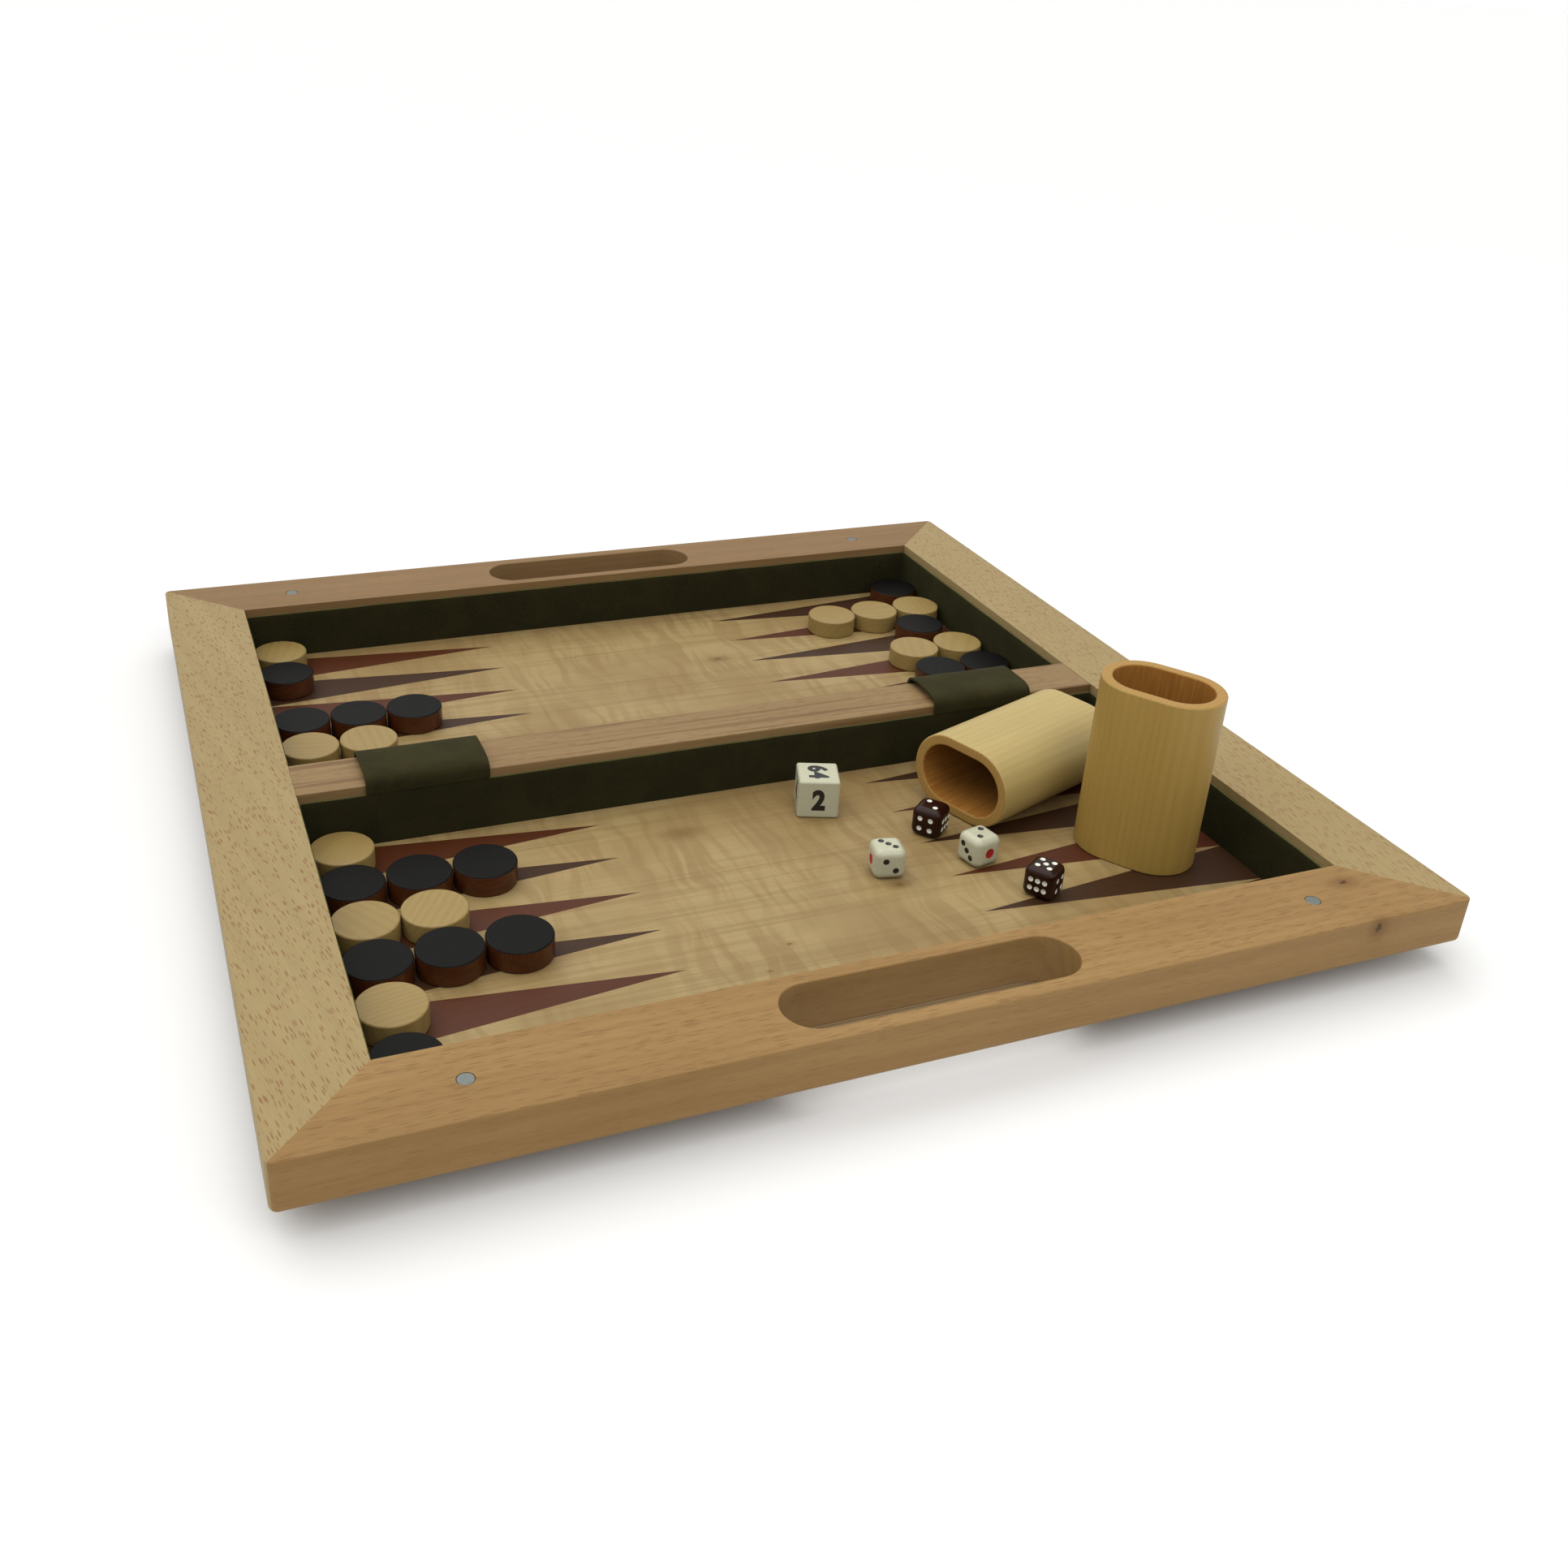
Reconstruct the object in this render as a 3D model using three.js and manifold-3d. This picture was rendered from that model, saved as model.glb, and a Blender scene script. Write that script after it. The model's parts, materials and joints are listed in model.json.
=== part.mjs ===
// A wooden tabletop backgammon tray with its checkers, dice, doubling cube and dice cups.
// Millimetres, +Z up. The origin is under the middle of the tray, on the surface it stands on.
// +X runs to the right along the front rail, and +Y runs back across the two wells.
import * as THREE from 'three';
import { RoundedBoxGeometry } from 'three/addons/geometries/RoundedBoxGeometry.js';
import { mergeVertices } from 'three/addons/utils/BufferGeometryUtils.js';
import Module from 'manifold-3d';

const wasm = await Module();
wasm.setup();

// Tray
const TRAY_LENGTH = 468;
const TRAY_DEPTH = 459;
const RAIL_WIDTH = 37.5;
const RAIL_HEIGHT = 21;
const CORNER_RADIUS = 3;
const BAR_WIDTH = 26.75;
const WELL_DEPTH = 28.75;
const PANEL_THICKNESS = 3.5;
const FIELD_THICKNESS = 0.75;
const PLINTH_WIDTH = 4.5;
const FELT_THICKNESS = 1;
const FELT_BELOW_RAIL = 4;
const FELT_CORNER_RADIUS = 1.5;

// Hand slots and magnets in the front and back rails
const SLOT_LENGTH = 119;
const SLOT_WIDTH = 25.5;
const SLOT_FROM_EDGE = 19.25;
const MAGNET_RADIUS = 3;
const MAGNET_DEPTH = 3;
const MAGNET_POCKET_GAP = 0.2;
const MAGNET_FROM_SIDE = 64.5;
const MAGNET_FROM_EDGE = 19;

// Suede straps over the bar
const STRAP_WIDTH = 54;
const STRAP_THICKNESS = 1.3;
const STRAP_GAP = 0.3;
const STRAP_HEIGHT = 8.5;
const STRAP_SQUARENESS = 4;
const STRAP_STEPS = 28;
const LEFT_STRAP_X = -141;
const RIGHT_STRAP_X = 133;

// Points: six on each side of each well, numbered from the back
const POINT_PITCH = 28.4;
const FRONT_POINTS_Y = -98.5;
const BACK_POINTS_Y = 103;

// Loose pieces
const CHECKER_RADIUS = 13.5;
const CHECKER_HEIGHT = 9.7;
const CHECKER_GAP = 0.4;
const DIE_SIZE = 14.2;
const DIE_ROUND = 2.6;
const CUBE_SIZE = 19;
const CUBE_ROUND = 1.4;
const ROUND_STEPS = 2;
const CUP_LENGTH = 54.2;
const CUP_WIDTH = 37.8;
const CUP_HEIGHT = 82.3;
const CUP_WALL = 5;
const CUP_FLOOR = 6;
const LYING_GAP = 0.3;

// Heights above the surface that the tray stands on
const FIELD_TOP = PANEL_THICKNESS + FIELD_THICKNESS;
const RAIL_TOP = FIELD_TOP + WELL_DEPTH;
const RAIL_UNDERSIDE = RAIL_TOP - RAIL_HEIGHT;
const FELT_TOP = RAIL_TOP - FELT_BELOW_RAIL;

// Plan of the tray, measured from its middle
const HALF_LENGTH = TRAY_LENGTH / 2;
const HALF_DEPTH = TRAY_DEPTH / 2;
const WELL_HALF_LENGTH = HALF_LENGTH - RAIL_WIDTH;
const WELL_HALF_DEPTH = HALF_DEPTH - RAIL_WIDTH;
const BAR_HALF_WIDTH = BAR_WIDTH / 2;
const WELL_DEPTH_Y = WELL_HALF_DEPTH - BAR_HALF_WIDTH;
const WELL_MIDDLE_Y = (WELL_HALF_DEPTH + BAR_HALF_WIDTH) / 2;

const MATERIALS = {
  orange_beech: { color: 0xb98f5c, roughness: 0.55 },
  pale_beech: { color: 0xbfa374, roughness: 0.55 },
  plywood: { color: 0xa98a5c, roughness: 0.7 },
  curly_maple: { color: 0xb89c6c, roughness: 0.45 },
  green_felt: { color: 0x1f2114, roughness: 0.95 },
  olive_suede: { color: 0x4a4b2c, roughness: 0.9 },
  magnet_nickel: { color: 0xa9aaa4, roughness: 0.35, metalness: 0.9 },
  light_wood: { color: 0xc9ad6b, roughness: 0.45 },
  dark_wood: { color: 0x2b2422, roughness: 0.4 },
  cup_wood: { color: 0xb79a5b, roughness: 0.5 },
  white_plastic: { color: 0xe3e2c8, roughness: 0.2 },
  brown_plastic: { color: 0x38201a, roughness: 0.2 },
};

const tray = new THREE.Group();

function piece(name, geometry, look, parent = tray) {
  const mesh = new THREE.Mesh(geometry, new THREE.MeshStandardMaterial(MATERIALS[look]));
  mesh.name = name;
  parent.add(mesh);
  return mesh;
}

function toManifold(geometry) {
  const bare = geometry.clone();
  bare.deleteAttribute('normal');
  bare.deleteAttribute('uv');
  const merged = mergeVertices(bare, 1e-4);
  return new wasm.Manifold(new wasm.Mesh({
    numProp: 3,
    vertProperties: new Float32Array(merged.attributes.position.array),
    triVerts: new Uint32Array(merged.index.array),
  }));
}

function fromManifold(solid) {
  const { vertProperties, triVerts } = solid.getMesh();
  const geometry = new THREE.BufferGeometry();
  geometry.setAttribute('position', new THREE.BufferAttribute(vertProperties, 3));
  geometry.setIndex(new THREE.BufferAttribute(triVerts, 1));
  geometry.computeVertexNormals();
  return geometry;
}

// An outline drawn in plan, standing from one height up to another.
function prism(outline, bottom, top, curveSegments = 6) {
  const geometry = new THREE.ExtrudeGeometry(outline, {
    depth: top - bottom,
    bevelEnabled: false,
    curveSegments,
  });
  return geometry.translate(0, 0, bottom);
}

function block(x0, y0, z0, x1, y1, z1) {
  const geometry = new THREE.BoxGeometry(x1 - x0, y1 - y0, z1 - z0);
  return geometry.translate((x0 + x1) / 2, (y0 + y1) / 2, (z0 + z1) / 2);
}

// A long hole or bar with round ends, its long way along X.
function stadium(outline, length, width, x = 0, y = 0) {
  const radius = width / 2;
  const reach = length / 2 - radius;
  outline.moveTo(x - reach, y - radius);
  outline.lineTo(x + reach, y - radius);
  outline.absarc(x + reach, y, radius, -Math.PI / 2, Math.PI / 2, false);
  outline.lineTo(x - reach, y + radius);
  outline.absarc(x - reach, y, radius, Math.PI / 2, Math.PI * 1.5, false);
  return outline;
}

function roundedRectangle(outline, halfX, halfY, radius) {
  outline.moveTo(-halfX + radius, -halfY);
  outline.lineTo(halfX - radius, -halfY);
  outline.absarc(halfX - radius, -halfY + radius, radius, -Math.PI / 2, 0, false);
  outline.absarc(halfX - radius, halfY - radius, radius, 0, Math.PI / 2, false);
  outline.absarc(-halfX + radius, halfY - radius, radius, Math.PI / 2, Math.PI, false);
  outline.absarc(-halfX + radius, -halfY + radius, radius, Math.PI, Math.PI * 1.5, false);
  return outline;
}

// One mitred rail of the frame, drawn along the front edge. Half of the outer corner's
// round belongs to each rail, and the mitre runs on from there to the well's corner.
function railOutline(halfLength, halfDepth) {
  const outline = new THREE.Shape();
  const middle = halfLength - CORNER_RADIUS;
  const edge = -halfDepth + CORNER_RADIUS;
  outline.moveTo(-middle, -halfDepth);
  outline.lineTo(middle, -halfDepth);
  outline.absarc(middle, edge, CORNER_RADIUS, -Math.PI / 2, -Math.PI / 4, false);
  outline.lineTo(halfLength - RAIL_WIDTH, -halfDepth + RAIL_WIDTH);
  outline.lineTo(-halfLength + RAIL_WIDTH, -halfDepth + RAIL_WIDTH);
  outline.absarc(-middle, edge, CORNER_RADIUS, -Math.PI * 0.75, -Math.PI / 2, false);
  return outline;
}

// The front rail, with its hand slot right through and two blind magnet pockets.
function slottedRail() {
  const outline = railOutline(HALF_LENGTH, HALF_DEPTH);
  const slotY = -HALF_DEPTH + SLOT_FROM_EDGE;
  outline.holes.push(stadium(new THREE.Path(), SLOT_LENGTH, SLOT_WIDTH, 0, slotY));
  let rail = toManifold(prism(outline, RAIL_UNDERSIDE, RAIL_TOP));
  for (const side of [-1, 1]) {
    const pocket = new THREE.CylinderGeometry(
      MAGNET_RADIUS + MAGNET_POCKET_GAP, MAGNET_RADIUS + MAGNET_POCKET_GAP, MAGNET_DEPTH * 2, 16);
    pocket.rotateX(Math.PI / 2);
    pocket.translate(side * (HALF_LENGTH - MAGNET_FROM_SIDE), -HALF_DEPTH + MAGNET_FROM_EDGE, RAIL_TOP);
    rail = rail.subtract(toManifold(pocket));
  }
  return fromManifold(rail);
}

function makeRails() {
  piece('front_rail', slottedRail(), 'orange_beech');
  piece('back_rail', slottedRail(), 'orange_beech').rotation.z = Math.PI;
  const plain = () => prism(railOutline(HALF_DEPTH, HALF_LENGTH), RAIL_UNDERSIDE, RAIL_TOP);
  piece('left_rail', plain(), 'pale_beech').rotation.z = -Math.PI / 2;
  piece('right_rail', plain(), 'pale_beech').rotation.z = Math.PI / 2;
}

function makeMagnets() {
  for (const [across, x] of [['left', -1], ['right', 1]]) {
    for (const [along, y] of [['front', -1], ['back', 1]]) {
      const disc = new THREE.CylinderGeometry(MAGNET_RADIUS, MAGNET_RADIUS, MAGNET_DEPTH, 16);
      disc.rotateX(Math.PI / 2);
      const magnet = piece(`${along}_${across}_magnet`, disc, 'magnet_nickel');
      magnet.position.set(
        x * (HALF_LENGTH - MAGNET_FROM_SIDE), y * (HALF_DEPTH - MAGNET_FROM_EDGE), RAIL_TOP - MAGNET_DEPTH / 2);
    }
  }
}

// The floor panel, the strips that carry the rails on it, the bar and the two fields.
function makeInside() {
  const inX = WELL_HALF_LENGTH;
  const inY = WELL_HALF_DEPTH;
  const outX = inX + PLINTH_WIDTH;
  const outY = inY + PLINTH_WIDTH;
  piece('base_panel', block(-outX, -outY, 0, outX, outY, PANEL_THICKNESS), 'plywood');
  const strip = (x0, y0, x1, y1) => block(x0, y0, PANEL_THICKNESS, x1, y1, RAIL_UNDERSIDE);
  piece('front_plinth_strip', strip(-outX, -outY, outX, -inY), 'plywood');
  piece('back_plinth_strip', strip(-outX, inY, outX, outY), 'plywood');
  piece('left_plinth_strip', strip(-outX, -inY, -inX, inY), 'plywood');
  piece('right_plinth_strip', strip(inX, -inY, outX, inY), 'plywood');
  piece('centre_bar', block(-inX, -BAR_HALF_WIDTH, PANEL_THICKNESS, inX, BAR_HALF_WIDTH, RAIL_TOP), 'orange_beech');
  for (const [along, side] of [['front', -1], ['back', 1]]) {
    const field = new THREE.BoxGeometry(2 * inX, WELL_DEPTH_Y, FIELD_THICKNESS);
    piece(`${along}_field`, field, 'curly_maple').position.set(
      0, side * WELL_MIDDLE_Y, PANEL_THICKNESS + FIELD_THICKNESS / 2);
    const band = new THREE.Shape();
    band.moveTo(-inX, -WELL_DEPTH_Y / 2);
    band.lineTo(inX, -WELL_DEPTH_Y / 2);
    band.lineTo(inX, WELL_DEPTH_Y / 2);
    band.lineTo(-inX, WELL_DEPTH_Y / 2);
    band.holes.push(roundedRectangle(
      new THREE.Path(), inX - FELT_THICKNESS, WELL_DEPTH_Y / 2 - FELT_THICKNESS, FELT_CORNER_RADIUS));
    const felt = piece(`${along}_well_felt`, prism(band, FIELD_TOP, FELT_TOP, 3), 'green_felt');
    felt.position.y = side * WELL_MIDDLE_Y;
  }
}

// A strap's section: a squarish arch from the felt's top edge over the bar and down again.
function archPoints(halfWidth, height) {
  const points = [];
  for (let step = 0; step <= STRAP_STEPS; step += 1) {
    const angle = (Math.PI * step) / STRAP_STEPS;
    const cos = Math.cos(angle);
    const across = Math.sign(cos) * Math.abs(cos) ** (2 / STRAP_SQUARENESS);
    const up = Math.sin(angle) ** (2 / STRAP_SQUARENESS);
    points.push(new THREE.Vector2(halfWidth * across, height * up));
  }
  return points;
}

function makeStraps() {
  const inner = BAR_HALF_WIDTH + STRAP_GAP;
  const outside = archPoints(inner + STRAP_THICKNESS, STRAP_HEIGHT);
  const inside = archPoints(inner, STRAP_HEIGHT - STRAP_THICKNESS).reverse();
  for (const [name, x] of [['left_strap', LEFT_STRAP_X], ['right_strap', RIGHT_STRAP_X]]) {
    const section = new THREE.Shape([...outside, ...inside]);
    const band = new THREE.ExtrudeGeometry(section, { depth: STRAP_WIDTH, bevelEnabled: false });
    band.rotateX(Math.PI / 2);
    band.rotateZ(Math.PI / 2);
    piece(name, band, 'olive_suede').position.set(x - STRAP_WIDTH / 2, 0, FELT_TOP + STRAP_GAP);
  }
}

// Checkers stand in rows that start at a side wall, one row to a point. A row gives its well,
// its side, its point from the back, its colour and length, and how far it lies off its place.
const ROWS = [
  { well: 'front', side: 'left', point: 1, colour: 'light', count: 1, out: 0.2, back: -1.5 },
  { well: 'front', side: 'left', point: 2, colour: 'dark', count: 3, out: 0, back: -0.5 },
  { well: 'front', side: 'left', point: 3, colour: 'light', count: 2, out: 0.5, back: 0 },
  { well: 'front', side: 'left', point: 4, colour: 'dark', count: 3, out: 0.5, back: 1 },
  { well: 'front', side: 'left', point: 5, colour: 'light', count: 1, out: 0.5, back: 1 },
  { well: 'front', side: 'left', point: 6, colour: 'dark', count: 1, out: 0, back: -1 },
  { well: 'back', side: 'left', point: 1, colour: 'light', count: 1, out: 0.2, back: 3 },
  { well: 'back', side: 'left', point: 2, colour: 'dark', count: 1, out: 0, back: 4 },
  { well: 'back', side: 'left', point: 4, colour: 'dark', count: 3, out: 0.2, back: 5.5 },
  { well: 'back', side: 'left', point: 5, colour: 'light', count: 2, out: 0.4, back: 6 },
  { well: 'back', side: 'left', point: 6, colour: 'light', count: 3, out: 0, back: 2 },
  { well: 'back', side: 'right', point: 1, colour: 'dark', count: 1, out: 0, back: 0 },
  { well: 'back', side: 'right', point: 2, colour: 'light', count: 3, out: 0, back: -0.5 },
  { well: 'back', side: 'right', point: 3, colour: 'dark', count: 1, out: 10.5, back: 2.5 },
  { well: 'back', side: 'right', point: 4, colour: 'light', count: 2, out: 1.8, back: 2 },
  { well: 'back', side: 'right', point: 5, colour: 'dark', count: 2, out: 0, back: 2.5 },
];

function makeCheckers() {
  const made = { light: 0, dark: 0 };
  const wall = WELL_HALF_LENGTH - FELT_THICKNESS;
  for (const row of ROWS) {
    const middle = row.well === 'front' ? FRONT_POINTS_Y : BACK_POINTS_Y;
    const y = middle + POINT_PITCH * (3.5 - row.point) + row.back;
    const side = row.side === 'left' ? -1 : 1;
    for (let place = 0; place < row.count; place += 1) {
      const inward = CHECKER_GAP + CHECKER_RADIUS + place * (2 * CHECKER_RADIUS + CHECKER_GAP) + row.out;
      const disc = new THREE.CylinderGeometry(CHECKER_RADIUS, CHECKER_RADIUS, CHECKER_HEIGHT, 28);
      disc.rotateX(Math.PI / 2);
      made[row.colour] += 1;
      const number = String(made[row.colour]).padStart(2, '0');
      const checker = piece(`${row.colour}_checker_${number}`, disc, `${row.colour}_wood`);
      checker.position.set(side * (wall - inward), y, FIELD_TOP + CHECKER_HEIGHT / 2);
    }
  }
}

// A dice cup standing on its floor, open at the top, its long way along X.
function cupSolid() {
  const outer = prism(stadium(new THREE.Shape(), CUP_LENGTH, CUP_WIDTH), 0, CUP_HEIGHT, 10);
  const hollow = stadium(new THREE.Shape(), CUP_LENGTH - 2 * CUP_WALL, CUP_WIDTH - 2 * CUP_WALL);
  const inner = prism(hollow, CUP_FLOOR, CUP_HEIGHT + CUP_FLOOR, 10);
  return fromManifold(toManifold(outer).subtract(toManifold(inner)));
}

function makeCups() {
  const standing = piece('standing_cup', cupSolid(), 'cup_wood');
  standing.position.set(155.5, -116.5, FIELD_TOP);
  standing.rotation.z = THREE.MathUtils.degToRad(-56);
  // The lying cup rests on a broad side, its mouth towards the left and front.
  const lying = piece('lying_cup', cupSolid().rotateY(-Math.PI / 2).rotateX(Math.PI / 2), 'cup_wood');
  lying.rotation.z = THREE.MathUtils.degToRad(20);
  lying.position.set(168, -40.5, FIELD_TOP + CUP_WIDTH / 2 + LYING_GAP);
}

// Where each die lies and how far it is turned.
const DICE = [
  { name: 'left_white_die', x: 38.5, y: -101, turn: -12, look: 'white_plastic' },
  { name: 'right_white_die', x: 81.8, y: -104.5, turn: 13, look: 'white_plastic' },
  { name: 'back_brown_die', x: 73, y: -76.6, turn: 39, look: 'brown_plastic' },
  { name: 'front_brown_die', x: 95.7, y: -135.7, turn: 34, look: 'brown_plastic' },
];

function makeDice() {
  for (const { name, x, y, turn, look } of DICE) {
    const die = piece(name, new RoundedBoxGeometry(DIE_SIZE, DIE_SIZE, DIE_SIZE, ROUND_STEPS, DIE_ROUND), look);
    die.position.set(x, y, FIELD_TOP + DIE_SIZE / 2);
    die.rotation.z = THREE.MathUtils.degToRad(turn);
  }
  const cube = new RoundedBoxGeometry(CUBE_SIZE, CUBE_SIZE, CUBE_SIZE, ROUND_STEPS, CUBE_ROUND);
  const doubling = piece('doubling_cube', cube, 'white_plastic');
  doubling.position.set(32, -42, FIELD_TOP + CUBE_SIZE / 2);
  doubling.rotation.z = THREE.MathUtils.degToRad(-19.5);
}

makeRails();
makeMagnets();
makeInside();
makeStraps();
makeCheckers();
makeCups();
makeDice();

export default tray;
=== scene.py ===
"""The finished look of a wooden tabletop backgammon set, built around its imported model."""

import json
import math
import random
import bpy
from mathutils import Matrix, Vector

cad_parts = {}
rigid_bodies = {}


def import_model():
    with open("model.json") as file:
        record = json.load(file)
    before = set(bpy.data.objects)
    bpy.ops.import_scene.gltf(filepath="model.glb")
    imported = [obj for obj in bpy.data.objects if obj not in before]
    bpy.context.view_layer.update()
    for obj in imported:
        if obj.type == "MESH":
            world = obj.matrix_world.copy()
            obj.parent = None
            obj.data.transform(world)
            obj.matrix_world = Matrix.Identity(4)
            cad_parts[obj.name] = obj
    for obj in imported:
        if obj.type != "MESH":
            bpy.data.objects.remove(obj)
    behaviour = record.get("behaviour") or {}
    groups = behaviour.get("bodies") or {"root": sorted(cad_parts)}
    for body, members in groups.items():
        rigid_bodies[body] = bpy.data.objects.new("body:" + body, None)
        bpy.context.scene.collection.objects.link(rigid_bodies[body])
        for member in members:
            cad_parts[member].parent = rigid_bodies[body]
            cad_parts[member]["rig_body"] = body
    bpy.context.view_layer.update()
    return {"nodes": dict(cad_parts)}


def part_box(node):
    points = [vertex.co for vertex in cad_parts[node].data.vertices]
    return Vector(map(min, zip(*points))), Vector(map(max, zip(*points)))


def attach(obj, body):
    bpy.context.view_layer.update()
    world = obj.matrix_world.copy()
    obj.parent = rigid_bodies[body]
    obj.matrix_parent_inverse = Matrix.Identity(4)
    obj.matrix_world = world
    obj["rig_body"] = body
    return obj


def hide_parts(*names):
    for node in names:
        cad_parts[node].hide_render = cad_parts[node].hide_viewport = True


bl_info = {
    "name": "Backgammon Set",
    "version": (1, 0, 0),
    "blender": (4, 5, 0),
    "location": "View3D > Sidebar > Backgammon",
    "description": "Makes a mitred beech backgammon tray with its checkers, dice and cups",
    "category": "Object",
}

import bmesh
import bpy
from bpy.props import FloatProperty, FloatVectorProperty, IntProperty, PointerProperty
from mathutils import Euler, Matrix, Vector, noise

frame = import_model()

MM = 0.001
TINY = 1e-6
SHARP_ANGLE = math.radians(40)


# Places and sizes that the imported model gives

def middle(node):
    low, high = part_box(node)
    return (low + high) / 2


def extent(node):
    low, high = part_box(node)
    return high - low


def nodes_called(*starts):
    return sorted(name for name in frame["nodes"] if name.startswith(starts))


def body_of(node):
    return frame["nodes"][node]["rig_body"]


HALF_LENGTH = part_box("right_rail")[1].x
HALF_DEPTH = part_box("back_rail")[1].y
RAIL_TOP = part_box("front_rail")[1].z
RAIL_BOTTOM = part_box("front_rail")[0].z
RAIL_WIDTH = extent("front_rail").y
WELL_HALF_LENGTH = HALF_LENGTH - RAIL_WIDTH
FIELD_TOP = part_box("front_field")[1].z
MAGNET_X = middle("front_right_magnet").x
MAGNET_Y = middle("front_right_magnet").y
MAGNET_RADIUS = extent("front_right_magnet").x / 2


# Sizes and colours

def distance(name, description, default):
    return FloatProperty(
        name=name, description=description, default=default, min=0, subtype="DISTANCE", unit="LENGTH")


def colour(name, description, default):
    return FloatVectorProperty(
        name=name, description=description, default=default, min=0, max=1, size=3, subtype="COLOR")


def factor(name, description, default):
    return FloatProperty(name=name, description=description, default=default, min=0, max=1, subtype="FACTOR")


class BackgammonTraySizes(bpy.types.PropertyGroup):
    """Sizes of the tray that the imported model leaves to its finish."""

    corner_radius: distance("Corner radius", "Round of the frame's upright corners", 3 * MM)
    eased_edge: distance("Eased edge", "Round of the rails' upper edges", 0.7 * MM)
    bottom_round: distance("Bottom round", "Round of the rails' lower outer edges", 2.7 * MM)
    slot_length: distance("Slot length", "Length of a hand slot", 119 * MM)
    slot_width: distance("Slot width", "Width of a hand slot", 25.5 * MM)
    slot_from_edge: distance("Slot place", "From the outer edge to the slot's middle", 19.25 * MM)
    pocket_gap: distance("Pocket gap", "Gap round a magnet", 0.2 * MM)
    point_pitch: distance("Point pitch", "Width of a point at its base", 28.4 * MM)
    left_point_length: distance("Left point length", "Length of the points at the left", 128.8 * MM)
    right_point_length: distance("Right point length", "Length of the points at the right", 132.5 * MM)
    front_points_y: FloatProperty(
        name="Front points", description="Middle of the front rows of points",
        default=-98.6 * MM, subtype="DISTANCE", unit="LENGTH")
    back_points_y: FloatProperty(
        name="Back points", description="Middle of the back rows of points",
        default=103 * MM, subtype="DISTANCE", unit="LENGTH")
    felt_thickness: distance("Felt thickness", "Thickness of the felt lining", 1 * MM)
    felt_corner: distance("Felt corner", "Round of the felt in the wells' corners", 2 * MM)
    strap_thickness: distance("Strap thickness", "Thickness of the suede", 1.2 * MM)


class BackgammonPieceSizes(bpy.types.PropertyGroup):
    """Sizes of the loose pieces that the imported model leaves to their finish."""

    checker_round: distance("Checker round", "Round of a checker's edges", 0.8 * MM)
    checker_sides: IntProperty(name="Checker sides", description="Sides of a turned disc", default=72, min=24)
    cup_wall: distance("Cup wall", "Thickness of a cup's wall", 5 * MM)
    cup_floor: distance("Cup floor", "Thickness of a cup's floor", 6 * MM)
    cup_round: distance("Cup round", "Round of a cup's rim", 0.9 * MM)
    die_round: distance("Die round", "Round of a die's edges", 3.4 * MM)
    pip_width: distance("Pip width", "Width of a drilled pip", 2.8 * MM)
    small_pip_width: distance("Small pip width", "Width of a brown die's pip", 2.4 * MM)
    one_width: distance("Wide pip width", "Width of the single pip of a white die", 4.9 * MM)
    pip_depth: distance("Pip depth", "Depth of a drilled pip", 0.4 * MM)
    cube_round: distance("Cube round", "Round of the doubling cube's edges", 1.3 * MM)
    numeral_height: distance("Numeral height", "Height of the doubling cube's single numerals", 10.8 * MM)
    numeral_width: distance("Numeral width", "Width of the doubling cube's single numerals", 6.2 * MM)
    pair_height: distance("Pair height", "Height of the doubling cube's paired numerals", 9.6 * MM)
    pair_width: distance("Pair width", "Width of the doubling cube's paired numerals", 12.2 * MM)
    numeral_depth: distance("Numeral depth", "Depth of the engraving", 0.25 * MM)


class BackgammonColours(bpy.types.PropertyGroup):
    """Base colours of the finishes."""

    orange_beech: colour("Orange beech", "Front and back rails", (0.28, 0.17, 0.061))
    back_beech: colour("Back beech", "Back rail", (0.215, 0.13, 0.054))
    pale_beech: colour("Pale beech", "Left and right rails", (0.295, 0.222, 0.1))
    bar_beech: colour("Bar beech", "Centre bar", (0.238, 0.154, 0.068))
    maple: colour("Maple", "Fields", (0.303, 0.22, 0.096))
    red_veneer: colour("Red veneer", "Red points", (0.082, 0.023, 0.007))
    brown_veneer: colour("Brown veneer", "Brown points", (0.048, 0.021, 0.0082))
    felt: colour("Felt", "Lining of the wells", (0.017, 0.0145, 0.0052))
    suede: colour("Suede", "Straps over the bar", (0.019, 0.0162, 0.0053))
    light_wood: colour("Light checkers", "Light checkers", (0.275, 0.192, 0.064))
    dark_stain: colour("Dark checkers", "Stained faces of the dark checkers", (0.004, 0.0038, 0.0034))
    dark_side: colour("Dark checker sides", "Sides of the dark checkers", (0.075, 0.021, 0.005))
    cup_wood: colour("Cup wood", "Outside of the standing cup", (0.345, 0.222, 0.05))
    # Painted light: a paler copy of the cup wood, standing for the light and sky sheen on the lying cup's upturned side
    pale_cup_wood: colour("Pale cup wood", "The paler wood of the lying cup", (0.4, 0.305, 0.11))
    cup_rim: colour("Cup rim", "Rims and floors of the cups", (0.345, 0.205, 0.058))
    cup_inside: colour("Cup inside", "Inside of the cups", (0.345, 0.155, 0.029))
    ivory: colour("Ivory plastic", "White dice and the doubling cube", (0.41, 0.405, 0.29))
    brown_plastic: colour("Brown plastic", "Brown dice", (0.017, 0.0045, 0.0022))
    nickel: colour("Nickel", "Magnets", (0.165, 0.18, 0.165))


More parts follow.
